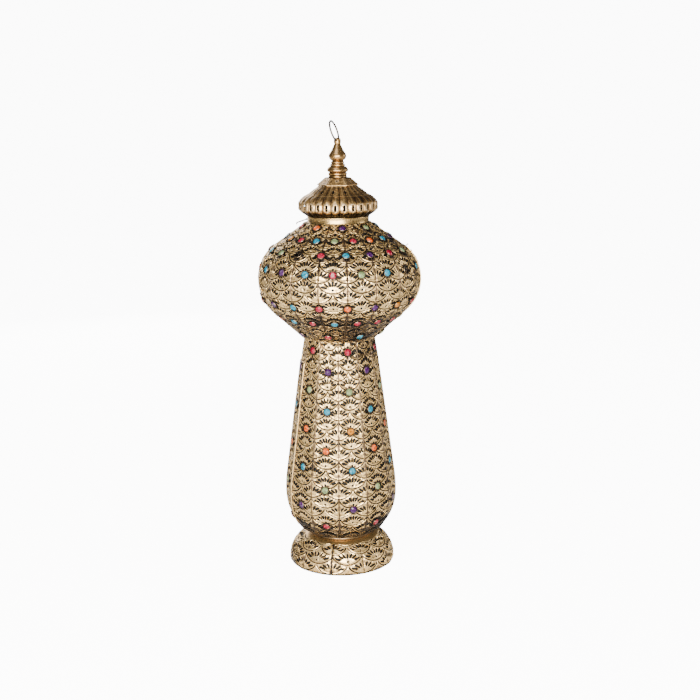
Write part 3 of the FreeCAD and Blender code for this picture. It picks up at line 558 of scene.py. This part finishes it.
def stamped(low, high, left, right, half_width, dots, margins=(0, 0, 0, 0)):
    """A panel's pattern between two runs and two sides. Its middle is at 0 and its seams at half_width.

    dots is the run of one of the middle fans' dots and the distance between them.
    """
    first_dot, row_pitch = dots
    sheet = Sheet(low, high, left, right, margins)
    places = []
    row = math.floor((low - first_dot) / row_pitch) - 1
    while first_dot + row * row_pitch < high + row_pitch:
        for side in (0, -1, 1):
            y = first_dot + row * row_pitch + abs(side) * row_pitch / 2
            width = float(half_width(min(max(y, low), high)))
            places.append((side * width, y, width / HALF_PITCH))
        row += 1
    for stamp in (fan, emboss_arc, emboss_rays):
        for place in places:
            stamp(sheet, *place)
    sheet.fill(2.3)
    return sheet.mesh()


def islands(node):
    """The points of each separate solid of a node, in millimetres."""
    mesh = frame["nodes"][node].data
    points = np.array([v.co for v in mesh.vertices]) / MM
    _, same = np.unique(np.round(points, 2), axis=0, return_inverse=True)
    same = same.ravel()
    root = list(range(same.max() + 1))

    def find(i):
        while root[i] != i:
            root[i] = root[root[i]]
            i = root[i]
        return i

    for polygon in mesh.polygons:
        first = find(same[polygon.vertices[0]])
        for vertex in polygon.vertices[1:]:
            root[find(same[vertex])] = first
    groups = {}
    for index, point in zip(same, points):
        groups.setdefault(find(index), {})[index] = point
    return [np.array(list(group.values())) for group in groups.values()]


def sites(node):
    """(middle of the base, outward axis) of each gem or cup of a node."""
    found = []
    for points in islands(node):
        centre = points.mean(axis=0)
        axis = np.linalg.svd(points - centre)[2][2]
        if axis[0] * centre[0] + axis[1] * centre[1] < 0:
            axis = -axis
        found.append((centre + axis * ((points - centre) @ axis).min(), axis))
    return found


GEM_OWNERS = ("lantern", "column_door", "upper_door")
cup_sites = {owner: sites(f"{owner}_gem_cups") for owner in GEM_OWNERS}
cup_centres = np.array([centre for found in cup_sites.values() for centre, _ in found])
CUP_SHADE, CUP_SHADE_FADE = 0.6, 9.6


def around_cups(points):
    """Painted shadow round the cups: full over each, then fading with the distance from it."""
    darker = np.zeros(len(points))
    for centre in cup_centres:
        distance = np.linalg.norm(points - centre, axis=1)
        darker = np.maximum(darker, np.clip(1.4 - distance / CUP_SHADE_FADE, 0, CUP_SHADE))
    return -darker


def rise(values, start, width):
    """0 up to a start, then evenly to 1 over a width."""
    return np.clip((values - start) / width, 0, 1)


def fall(values, end, width):
    """1, then evenly down to 0 at an end."""
    return np.clip((end - values) / width, 0, 1)


def painted_shade(points):
    """Painted shade, by height and by bearing: darker on the shoulder, under the belly, at the waist, at
    the column's base, at the foot's rim, and on both sides and the back.
    """
    x, y, height = points.T
    # Painted shade on the shoulder, and all round under the belly.
    shade = 0.21 * rise(height, 640, 18)
    shade += 0.38 * rise(height, 475, 8) * fall(height, 556, 22)
    # Painted shade to the right of the front: at the waist under the upper body, and up the belly's
    # underside.
    shade += 0.28 * rise(height, 425, 25) * fall(height, 480, 10) * rise(x, 12, 18)
    shade += 0.22 * fall(height, 560, 40) * (height > 476) * fall(np.abs(x - 30), 35, 35) * (y < 0)
    # Painted shade at the column's base under its belly, and at the foot's rim by the floor.
    shade += 0.5 * fall(height, 116, 30) * (height > 60)
    shade += 0.4 * fall(height, 5, 3)
    # Painted shade on both sides and the back, more on the column than on the upper body.
    bearing = np.degrees(np.arctan2(x, -y))
    shade += rise(np.abs(bearing + 2), 30, 12) * np.where(height > 480, 0.03, 0.13) * (height < 640)
    return -shade


SHEET_THICKNESS = 0.8


def lay(name, pattern, place, riding, lift, replaced=(), brighter=0.0):
    """Puts a flat pattern onto its shell."""
    flat, lifts, wear_and_shading_values, faces = pattern
    points = place(flat[:, 0], flat[:, 1], lifts + lift)
    # The wear values take the painted shadow round the cups and the painted shade over the shells.
    wear_and_shading_values = wear_and_shading_values + around_cups(points) + painted_shade(points) + brighter
    build(name, points, faces, [gold, bare], riding, wear_and_shading_values, 50, SHEET_THICKNESS, replaced)


def tube(name, path, radius, riding, material, sides=6, replaced=(), wear_and_shading=0.55):
    """A round wire along a path of points in millimetres."""
    path = [Vector(p) for p in path]
    points, faces = [], []
    for index, point in enumerate(path):
        along = (path[min(index + 1, len(path) - 1)] - path[max(index - 1, 0)]).normalized()
        across = along.orthogonal() if index == 0 else (across - along * across.dot(along))
        across.normalize()
        other = along.cross(across)
        for side in range(sides):
            angle = 2 * math.pi * side / sides
            points.append(point + (across * math.cos(angle) + other * math.sin(angle)) * radius)
    for ring in range(len(path) - 1):
        for side in range(sides):
            a, b = ring * sides + side, ring * sides + (side + 1) % sides
            faces.append((a, b, b + sides, a + sides))
    faces.append(tuple(range(sides))[::-1])
    faces.append(tuple(range(len(points) - sides, len(points))))
    return build(name, points, faces, [material], riding, [wear_and_shading] * len(points), replaced=replaced)


def turned_faces(count, segments):
    """The faces between the copies of a profile of so many points."""
    faces = []
    for segment in range(segments):
        here, there = segment * count, (segment + 1) % segments * count
        for index in range(count - 1):
            faces.append((here + index, there + index, there + index + 1, here + index + 1))
    return faces


def turned(name, profile, riding, materials, segments=96, replaced=(), thickness=None, wear_and_shading=None):
    """A surface turned about Z from (radius, height) points."""
    points, wear_and_shading_values = [], []
    for segment in range(segments):
        angle = 2 * math.pi * segment / segments
        for radius, height in profile:
            points.append((radius * math.sin(angle), -radius * math.cos(angle), height))
            wear_and_shading_values.append(0.6 if wear_and_shading is None else wear_and_shading(height))
    faces = turned_faces(len(profile), segments)
    return build(name, points, faces, materials, riding, wear_and_shading_values, 60, thickness, replaced)


# ---------------- shells and doors


# The run of one fan's dot and the distance up to the next.
COLUMN_DOTS = (70.5, 39.8)
BODY_DOTS = (1.4, 38.3)
FOOT_DOTS = (28.7, 39.8)
# Half of the gap between two panels, and how far the panels and the doors' leaves stand out of the shells.
SEAM_GAP = 0.5
STAND_OFF = 0.9
PROUD = 2.2
LEAF_LIFT = PROUD + 0.4
LEAF_RIM = 4.5
# Angles about the lantern's axis: from a bay's outer side to the doorway, and to the leaf at its hinge.
DOOR_SIDE = 3.6
LEAF_SETBACK = 1.6


def side_of(shell, sign, degrees=0.0):
    """A panel's left or right side, drawn in by an angle about the lantern's axis."""
    def side(run):
        inset = SEAM_GAP + float(shell.radius(run)) * math.sin(math.radians(degrees))
        return sign * (float(shell.half_width(run)) - inset)
    return side


def seam(name, shell, bearing, low, high, riding, lift):
    """The soldered seam between two panels."""
    wire_radius, sunk = 0.75, 0.35
    radius, height = shell.lifted(np.linspace(low, high, 60), lift)
    path = around(radius - sunk, math.radians(bearing), height)
    tube(name, path, wire_radius, riding, gold, wear_and_shading=0.34)


def make_shell(prefix, shell, first, dots, top, bays, door_runs, hinge_left, door):
    """Panels all round, seams between them, and a door over two panels, the bays."""
    turn = 360 / shell.sides
    sides = (side_of(shell, -1), side_of(shell, 1))
    whole = stamped(0, top, *sides, shell.half_width, dots)
    door_low, door_high, leaf_low, leaf_high = door_runs
    for number in range(shell.sides):
        bearing = first + turn * number

        def place(x, y, lift, b=bearing):
            return shell.flat_panel(x, y, lift, b)

        if number not in bays:
            lay(f"{prefix}_panel_{number}", whole, place, "lantern", STAND_OFF)
            continue
        for part, low, high in (("low", 0, door_low), ("high", door_high, top)):
            pattern = stamped(low, high, *sides, shell.half_width, dots)
            lay(f"{prefix}_panel_{number}_{part}", pattern, place, "lantern", STAND_OFF)
        left = number == bays[0]
        if left:
            jamb_sides = (sides[0], side_of(shell, -1, DOOR_SIDE))
        else:
            jamb_sides = (side_of(shell, 1, DOOR_SIDE), sides[1])
        jamb = Sheet(door_low, door_high, *jamb_sides)
        jamb.fill(2.6)
        lay(f"{prefix}_panel_{number}_jamb", jamb.mesh(), place, "lantern", STAND_OFF)
        setback = LEAF_SETBACK if left == hinge_left else 0
        leaf_sides = (side_of(shell, -1, setback if left else 0), side_of(shell, 1, 0 if left else setback))
        margins = (LEAF_RIM, LEAF_RIM, LEAF_RIM if left else 0, 0 if left else LEAF_RIM)
        pattern = stamped(leaf_low, leaf_high, *leaf_sides, shell.half_width, dots, margins)
        lay(f"{prefix}_leaf_{number}", pattern, place, door, LEAF_LIFT, [door])
        edge_name = f"{prefix}_leaf_edge_{number}"
        make_leaf_edge(edge_name, shell, bearing, leaf_low, leaf_high, leaf_sides, left, door)
    for number in range(shell.sides):
        bearing = first + turn * (number + 0.5)
        if number == bays[0]:
            seam(f"{prefix}_seam_{number}_low", shell, bearing, 0, door_low, "lantern", STAND_OFF)
            seam(f"{prefix}_seam_{number}_high", shell, bearing, door_high, top, "lantern", STAND_OFF)
            seam(f"{prefix}_leaf_seam", shell, bearing, leaf_low, leaf_high, door, PROUD + 0.5)
        else:
            seam(f"{prefix}_seam_{number}", shell, bearing, 0, top, "lantern", STAND_OFF)


def make_leaf_edge(name, shell, bearing, low, high, sides, left, door):
    """The leaf's edge folded back towards the shell, along its bottom, its outer side and its top."""
    outer_side, inner_side = sides if left else sides[::-1]
    outer = [(outer_side(run), run) for run in np.linspace(low, high, 50)]
    start, end = outer[0][0], outer[-1][0]
    across = 12
    bottom = [(inner_side(low) + (start - inner_side(low)) * i / across, low) for i in range(across)]
    top = [(end + (inner_side(high) - end) * (i + 1) / across, high) for i in range(across)]
    path = np.array(bottom + outer + top)
    count = len(path)
    rows = []
    for lift in (LEAF_LIFT + BORDER_LIFT, PROUD, STAND_OFF):
        rows.append(shell.flat_panel(path[:, 0], path[:, 1], np.full(count, lift), bearing))
    points = np.concatenate(rows)
    faces = []
    for row in range(len(rows) - 1):
        for index in range(count - 1):
            a = row * count + index
            faces.append((a, a + 1, a + 1 + count, a + count))
    build(name, points, faces, [gold], door, np.full(len(points), 0.75), 50, 0.6)


def make_shells():
    """The column and the upper body. Each door's heights are the doorway's, then the leaf's."""
    column_runs = [column.run_at(height) for height in (94, 424, 90, 428)]
    body_runs = [body.run_at(height) for height in (515, 653, 511, 657)]
    make_shell("column", column, -165, COLUMN_DOTS, column.length - 3, (2, 3), column_runs,
               True, "column_door")
    make_shell("upper_body", body, -161.7, BODY_DOTS, body.length - 0.5, (13, 14), body_runs,
               False, "upper_door")


GORES = 10
GORE_BEARING = 8.8
GORE_GAP, SPRUNG_GAP = 0.25, 1.4
PILLOW = 0.6
PLAIN_TOP = 15


def make_foot():
    """Ten gores, a little pillowed, with one seam sprung open, under a plain top."""
    def half(run):
        return foot.radius(run) * math.pi / GORES

    def side(sign, gap):
        return lambda run: sign * (float(half(run)) - gap)

    top = foot.length - PLAIN_TOP
    plain_runs = np.linspace(top - 0.5, foot.length, 12)
    plain_top = [(foot.radius(run) + 0.6, foot.height(run) + 0.9) for run in plain_runs]
    turned("foot_top_plain", plain_top, "lantern", [cap_gold])
    plain = stamped(0, top, side(-1, GORE_GAP), side(1, GORE_GAP), half, FOOT_DOTS)
    sprung = stamped(0, top, side(-1, GORE_GAP), side(1, SPRUNG_GAP), half, FOOT_DOTS)
    for number in range(GORES):
        bearing = GORE_BEARING + 360 / GORES * number

        def place(x, y, lift, b=bearing):
            drop = -PILLOW * (np.abs(x) / half(y)) ** 4
            return foot.round_gore(x, y, lift + drop, b)

        pattern = sprung if number == GORES - 1 else plain
        lay(f"foot_gore_{number}", pattern, place, "lantern", STAND_OFF, brighter=0.1)


# ---------------- cap and finial


RIB_PAIRS = 14
PAIR_TURN = 360 / RIB_PAIRS
PAIR_BEARING = -7.93
# A gadroon's width on the flat pattern.
RIB_WIDTH = 15.7


def dome_points():
    """Out from the band to the rim, then up to a crease and over to the cone."""
    return smooth_points([
        (61.5, 721.5), (64.5, 725), (71.8, 731), (76.3, 737), (77.4, 743), (76.6, 749), (73.4, 755),
        (67, 761), (61.2, 764), (57, 767), (50, 772.5), (41.5, 778.5), (37.5, 783),
    ], 4)


def make_dome():
    """Gadroons in pairs: a slot in each at the rim, and one between them higher up."""
    dome = Meridian(dome_points())
    rim, crease, shoulder = (dome.run_at(height) for height in (742.7, 764, 771.5))
    swell_runs = [0, 8, rim - 4, rim + 6, crease - 3, crease, dome.length]
    swells = [0.2, 1.3, 2.4, 1.9, 0.5, 0.3, 0.3]
    sheet = Sheet(0, dome.length, lambda run: -RIB_WIDTH, lambda run: RIB_WIDTH)
    for x in (-RIB_WIDTH / 2, RIB_WIDTH / 2):
        sheet.slot((x, rim - 3.6), (x, rim + 3.6), 1.9, 1.9, lip=1.0, depth=0.2, brim=1.3)
    sheet.slot((0, shoulder - 2.6), (0, shoulder + 2.6), 2.3, 2.3, lip=0.5, depth=0.0, brim=1.0)
    for x in (-RIB_WIDTH / 2, RIB_WIDTH / 2):
        sheet.line([(x, 1.5 * i) for i in range(60)], 0.0, 0.75)
    for x in (-0.6, 0, 0.6):
        sheet.line([(x, 1.5 * i + 0.75) for i in range(60)], 0.0, 0.4, 0.5)
    sheet.line([(0.8 * i - 15, crease) for i in range(39)], 0.7, 0.85)
    sheet.fill(1.7)
    flat, lifts, wear_and_shading_values, faces = sheet.mesh()
    across, runs = flat.T
    lobe = np.abs(np.sin(np.pi * across / RIB_WIDTH)) ** 0.7
    # The rim is painted brighter, a painted highlight on its bulge; the dome is darker from the band out to
    # a little below the rim.
    rim_light = np.clip(1.3 - np.abs(runs - rim) / 9, 0, 1)
    wear_and_shading_values = wear_and_shading_values + 0.12 * lobe - 0.12 + 0.4 * rim_light - 0.6 * fall(runs, rim - 8, 7)
    lifts = lifts + np.interp(runs, swell_runs, swells) * lobe
    radius, height = dome.lifted(runs, lifts)
    points, all_faces, all_wear_and_shading = [], [], []
    for number in range(RIB_PAIRS):
        bearing = PAIR_BEARING + PAIR_TURN * number
        angle = np.radians(bearing + across / RIB_WIDTH * PAIR_TURN / 2)
        start = number * len(flat)
        points.append(around(radius, angle, height))
        all_faces += [tuple(i + start for i in face) for face in faces]
        all_wear_and_shading.append(wear_and_shading_values)
    build("cap_dome_ribbed", np.concatenate(points), all_faces, [cap_gold, bare], "cap",
          np.concatenate(all_wear_and_shading), 60, 0.9, ["cap_dome"])


def make_cone():
    """Six flat facets with a round hole in each, over a raised rim."""
    facets, first_bearing = 6, -0.8
    cone = Meridian([(38, 782.2), (41.5, 782.8), (41.5, 784.4), (40, 785), (25, 797.6)], facets)

    def side(sign):
        return lambda run: sign * float(cone.half_width(run))

    sheet = Sheet(0, cone.length, side(-1), side(1))
    sheet.round_hole(0, cone.run_at(792), 1.9, lip=0.3, depth=-0.1, brim=0.9)
    for run, wear_and_shading in ((4.8, 0.6), (6.0, 0.9)):
        sheet.line([(x, run) for x in range(-20, 21)], 0.0, wear_and_shading, 0.5)
    for sign in (-1, 1):
        edge = side(sign)
        sheet.line([(edge(run) - sign * 1.4, run) for run in np.arange(7, cone.length, 1.2)], 0.5, 0.9)
    sheet.fill(1.8)
    flat, lifts, wear_and_shading_values, faces = sheet.mesh()
    for number in range(facets):
        bearing = first_bearing + 360 / facets * number
        points = cone.flat_panel(flat[:, 0], flat[:, 1], lifts, bearing)
        replaced = ["cap_cone"] if number == 0 else ()
        build(f"cap_cone_facet_{number}", points, faces, [cap_gold, bare], "cap", wear_and_shading_values, 50,
              SHEET_THICKNESS, replaced)


def make_band_and_finial():
    """The band rolled at both edges, and a turned bead and spire with dark grooves."""
    band = [
        (60.4, 709.7), (61.9, 709.8), (62.2, 710.5), (61.6, 711.4), (61.4, 714), (61.5, 719),
        (62.2, 720.6), (61.9, 722),
    ]
    turned("cap_band_rolled", smooth_points(band, 3), "cap", [polished, bare], 120,
           ["cap_band"], 0.9)
    bead = [
        (3.2, 797.7), (17.2, 797.7), (18.2, 798.8), (18.2, 800.4), (17.2, 801.4), (18.2, 802.6),
        (18.8, 804.4), (18.2, 806.2), (16.6, 807.4), (19.0, 808.6), (21.1, 811.0), (20.8, 813.6),
        (18.9, 816.6), (16.6, 818.6), (14.4, 819.4),
    ]
    grooves = (801.4, 807.4, 819.4, 824.6, 829.6, 862.4)

    def wear_and_shading(height):
        return 0.25 if any(abs(height - groove) < 0.5 for groove in grooves) else 0.7

    turned("finial_bead_turned", smooth_points(bead, 4), "cap", [finial_gold], 72,
           ["finial_bead"], wear_and_shading=wear_and_shading)
    spire = [
        (14.4, 819.4), (15.0, 821.2), (14.6, 823.2), (12.6, 824.6), (13.4, 826.2), (12.9, 828.2),
        (11.0, 829.6), (12.9, 831.2), (16.2, 834.6), (17.6, 839), (16.8, 843), (13.7, 847.8),
        (11.0, 852.4), (8.7, 857.4), (6.3, 862.4), (6.8, 864.2), (7.1, 867), (7.0, 870.6), (5.8, 873.2),
        (3.0, 874.4), (0.05, 874.6),
    ]
    profile = [(3.2, 819.4)] + smooth_points(spire, 4)
    piece = turned("finial_spire_turned", profile, "cap", [finial_gold], 72,
                   ["finial_spire"], wear_and_shading=wear_and_shading)
    bore_eye(piece)


# The knob's cross hole carries the hanging ring, and turns the ring about Z with it.
EYE_CENTRE = Vector((0, 0, 868.5))
EYE_TURN = math.radians(-14.5)
EYE_RADIUS = 2.1


def bore_eye(piece):
    """The knob's cross hole for the hanging ring."""
    along = Vector((-math.sin(EYE_TURN), math.cos(EYE_TURN), 0))
    across = Vector((math.cos(EYE_TURN), math.sin(EYE_TURN), 0))
    points, faces = [], []
    sides, reach = 24, 12
    for end in (-reach, reach):
        for side in range(sides):
            angle = 2 * math.pi * side / sides
            ring = across * math.cos(angle) * EYE_RADIUS + Vector((0, 0, math.sin(angle) * EYE_RADIUS))
            points.append((EYE_CENTRE + along * end + ring) * MM)
    for side in range(sides):
        after = (side + 1) % sides
        faces.append((side, after, after + sides, side + sides))
    faces += [tuple(range(sides))[::-1], tuple(range(sides, 2 * sides))]
    mesh = bpy.data.meshes.new("eye_cutter")
    mesh.from_pydata(points, [], faces)
    cutter = add_object("eye_cutter", mesh)
    hole = piece.modifiers.new("eye", "BOOLEAN")
    hole.operation = "DIFFERENCE"
    hole.object = cutter
    bpy.context.view_layer.update()
    evaluated = piece.evaluated_get(bpy.context.evaluated_depsgraph_get())
    cut_mesh = bpy.data.meshes.new_from_object(evaluated)
    piece.modifiers.clear()
    piece.data = cut_mesh
    bpy.data.objects.remove(cutter)


# ---------------- gems


def stone():
    """A round cut stone: a table, two rows of facets and a girdle."""
    rings = [(0.0, 6.9, 16, 0), (0.5, 6.9, 16, 0), (2.0, 6.0, 16, 0.5), (3.3, 3.8, 8, 0.25)]
    points, faces = [], []
    for height, radius, count, shift in rings:
        for index in range(count):
            angle = 2 * math.pi * (index + shift) / count
            points.append((radius * math.cos(angle), radius * math.sin(angle), height))
    for index in range(16):
        after = (index + 1) % 16
        faces.append((index, after, 16 + after, 16 + index))
        faces.append((16 + index, 16 + after, 32 + index))
        faces.append((32 + index, 16 + after, 32 + after))
    for index in range(8):
        low, mid, high = 32 + 2 * index, 32 + 2 * index + 1, 32 + (2 * index + 2) % 16
        here, there = 48 + index, 48 + (index + 1) % 8
        faces += [(low, mid, here), (mid, there, here), (mid, high, there)]
    faces.append(tuple(range(48, 56)))
    return np.array(points), faces


def cup():
    """A bezel cup with a beaded lip, dark inside."""
    profile = [
        (8.3, 0.0), (8.3, 0.9), (8.1, 2.0), (8.0, 2.7), (7.7, 3.0), (7.35, 2.8), (7.2, 2.0), (7.1, 0.7),
        (0.0, 0.7),
    ]
    # Low wear on the outer wall paints the dark shadow ring round the stone; the lip is lighter.
    wear_and_shading_values = [0.0, 0.05, 0.15, 0.6, 0.6, 0.15, 0.0, 0.0, 0.0]
    points, marks = [], []
    segments, bead_size = 28, 0.14
    for segment in range(segments):
        angle = 2 * math.pi * segment / segments
        bead = bead_size if segment % 2 else 0.0
        for index, (radius, height) in enumerate(profile):
            grown = radius + (bead if 2 <= index <= 4 else 0)
            points.append((grown * math.cos(angle), grown * math.sin(angle), height))
            marks.append(wear_and_shading_values[index])
    return (np.array(points), turned_faces(len(profile), segments)), marks


def scatter(name, found, shape, riding, material, node, angle, tilt, marks=None):
    """Copies of a small shape, each on its own site with its own turn."""
    shape_points, faces = shape
    all_points, all_faces = [], []
    for centre, axis in found:
        lean_x = Matrix.Rotation(random.uniform(-tilt, tilt), 3, "X")
        lean_y = Matrix.Rotation(random.uniform(-tilt, tilt), 3, "Y")
        spin = Matrix.Rotation(random.uniform(0, 6.3), 3, "Z")
        turn = Vector(axis).to_track_quat("Z", "Y").to_matrix() @ (lean_x @ lean_y) @ spin
        start = len(all_points) * len(shape_points)
        all_points.append(shape_points @ np.array(turn).T + centre)
        all_faces += [tuple(i + start for i in face) for face in faces]
    wear_and_shading_values = None if marks is None else list(marks) * len(found)
    points = np.concatenate(all_points)
    build(name, points, all_faces, [material], riding, wear_and_shading_values, angle, replaced=[node])


def make_hanging_ring():
    """The ring's wire, leaning to the left out of the knob's eye."""
    radius, wire_radius, sag, lean = 20.5, 1.9, 0.45, math.radians(-18.7)
    turn = Matrix.Rotation(EYE_TURN, 3, "Z") @ Matrix.Rotation(lean, 3, "Y")
    steps = 64
    path = []
    for step in range(steps + 1):
        angle = 2 * math.pi * step / steps
        on_ring = Vector((0, radius * math.sin(angle), radius - sag - radius * math.cos(angle)))
        path.append(EYE_CENTRE + turn @ on_ring)
    tube("hanging_ring_wire", path, wire_radius, "ring", wire, 10, ["hanging_ring"])


def thicken(node, name, riding, extra):
    """A wire fitting, thicker all over than the plain node that it stands for."""
    mesh = frame["nodes"][node].data.copy()
    mesh.name = name
    work = bmesh.new()
    work.from_mesh(mesh)
    bmesh.ops.remove_doubles(work, verts=work.verts, dist=0.00001)
    work.normal_update()
    normals = [vertex.normal.copy() for vertex in work.verts]
    for vertex, normal in zip(work.verts, normals):
        vertex.co += normal * extra * MM
    work.to_mesh(mesh)
    work.free()
    mesh.materials.clear()
    mesh.materials.append(wire)
    obj = add_object(name, mesh)
    smooth(obj, 40)
    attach(obj, riding)
    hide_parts(node)


def make_gems():
    """The cups and then the stones, colour by colour, on the lantern and on each door."""
    cup_shape, marks = cup()
    for owner, found in cup_sites.items():
        node = f"{owner}_gem_cups"
        scatter(f"{node}_beaded", found, cup_shape, owner, bezel, node, 45, 0.04, marks)
    for colour, value in GEMS.items():
        material = gem_material(f"gem_{colour}", value)
        for owner in GEM_OWNERS:
            node = f"{owner}_gems_{colour}"
            if node in frame["nodes"]:
                scatter(f"{node}_cut", sites(node), stone(), owner, material, node,
                        "flat", 0.05)


# ---------------- plain pieces


def inward(vertex):
    """Whether a wall's vertex is on its inner face, which is bare metal."""
    return vertex.normal.x * vertex.co.x + vertex.normal.y * vertex.co.y < 0


def paint_plain_pieces():
    """Each plain piece in its slot's finish, and the walls behind the pierced panels painted dark outside,
    as painted shade seen through the slots.
    """
    walls = ("column_shell", "upper_body_shell", "foot_shell")
    finishes = {"antique_gold": gold, "polished_gold": polished, "dark_metal": dark_metal, "wire": wire}
    for part in frame["record"]["subparts"]:
        obj = frame["nodes"][part["node"]]
        is_wall = part["node"] in walls
        finish = wall if is_wall else finishes.get(part["material_slot"])
        if finish is None:
            continue
        obj.data.materials.clear()
        obj.data.materials.append(finish)
        # A wall's outer face gets no wear, which paints it as shade; its inner face gets 0.6.
        wear_and_shading_values = [0.6 * inward(vertex) if is_wall else 0.5 for vertex in obj.data.vertices]
        obj.data.attributes.new("wear_and_shading", "FLOAT", "POINT").data.foreach_set("value", wear_and_shading_values)


make_shells()
make_foot()
make_dome()
make_cone()
make_band_and_finial()
make_gems()
make_hanging_ring()
thicken("cap_hook", "cap_hook_wire", "cap_hook", 0.45)
paint_plain_pieces()


# ---------------- stage, lights and camera
# Metres from here on.


BACKDROP_GLOW = 11.0
ROOM_LIGHT = 0.1
FLOOR_HALF = 6
# The floor under the foot doesn't glow, out to this distance from the lantern's axis.
UNDER_FOOT = 0.107


def make_stage():
    """A white floor that glows where it is looked at, and lights the lantern only as a pale surface."""
    corners = [(x * FLOOR_HALF, y * FLOOR_HALF, 0) for x, y in ((-1, -1), (1, -1), (1, 1), (-1, 1))]
    floor_mesh = bpy.data.meshes.new("floor")
    floor_mesh.from_pydata(corners, [], [(0, 1, 2, 3)])
    floor = add_object("floor", floor_mesh)
    nodes = Nodes("floor").set(Base_Color=(0.85, 0.85, 0.85, 1), Roughness=0.9, Emission_Color=(1, 1, 1, 1))
    seen = nodes.add("LightPath").outputs["Is Camera Ray"]
    distance = nodes.add("VectorMath", operation="LENGTH")
    nodes.link(nodes.add("TexCoord").outputs["Object"], distance.inputs[0])
    outside = nodes.math("GREATER_THAN", distance.outputs["Value"], UNDER_FOOT)
    glow = nodes.math("MULTIPLY", outside, BACKDROP_GLOW)
    nodes.link(nodes.math("MULTIPLY", seen, glow), nodes.shader.inputs["Emission Strength"])
    floor_mesh.materials.append(nodes.block)


def make_world():
    """A white backdrop where it is looked at, and a dimmer room for the light that falls on the lantern."""
    nodes = Nodes("world", bpy.data.worlds, "Background").set(Color=(1, 1, 1, 1))
    seen = nodes.add("LightPath").outputs["Is Camera Ray"]
    glow = nodes.math("MULTIPLY", seen, BACKDROP_GLOW - ROOM_LIGHT)
    nodes.link(nodes.math("ADD", glow, ROOM_LIGHT), nodes.shader.inputs["Strength"])
    bpy.context.scene.world = nodes.block


def area_light(name, position, target, size, power, colour):
    """A light of a width and a height, turned towards a target."""
    data = bpy.data.lights.new(name, "AREA")
    data.color = colour
    data.shape = "RECTANGLE"
    data.size, data.size_y = size
    data.energy = power
    light = add_object(name, data)
    light.location = position
    light.rotation_euler = (Vector(target) - Vector(position)).to_track_quat("-Z", "Y").to_euler()


def make_camera():
    """From a little right of the front and well above the lantern's middle."""
    bearing, distance, height = 2.5, 2.228, 0.937
    aside, down, tilt = 0.54, 12.4, -0.55
    data = bpy.data.cameras.new("camera")
    data.sensor_width = 36
    data.lens = 57.3
    data.clip_end = 50
    camera = add_object("camera", data)
    yaw = Matrix.Rotation(math.radians(bearing - aside), 4, "Z")
    pitch = Matrix.Rotation(math.radians(90 - down), 4, "X")
    roll = Matrix.Rotation(math.radians(tilt), 4, "Z")
    angle = math.radians(bearing)
    place = (distance * math.sin(angle), -distance * math.cos(angle), height)
    camera.matrix_world = Matrix.Translation(place) @ (yaw @ pitch @ roll)
    bpy.context.scene.camera = camera


WHITE, WARM_WHITE = (1, 1, 1), (1.0, 0.95, 0.88)
make_stage()
make_world()
area_light("key", (-0.15, -2.5, 0.75), (0, 0, 0.5), (2.2, 1.3), 222, (1.0, 0.96, 0.85))
area_light("top", (-0.6, -1.2, 2.9), (0, 0, 0.3), (1.2, 1.2), 20, WHITE)
area_light("back", (-0.9, 2.6, 1.2), (0, 0, 0.5), (1.8, 1.8), 52, WARM_WHITE)
area_light("side", (2.9, 0.6, 1.2), (0, 0, 0.5), (1.2, 1.2), 20, WARM_WHITE)
make_camera()
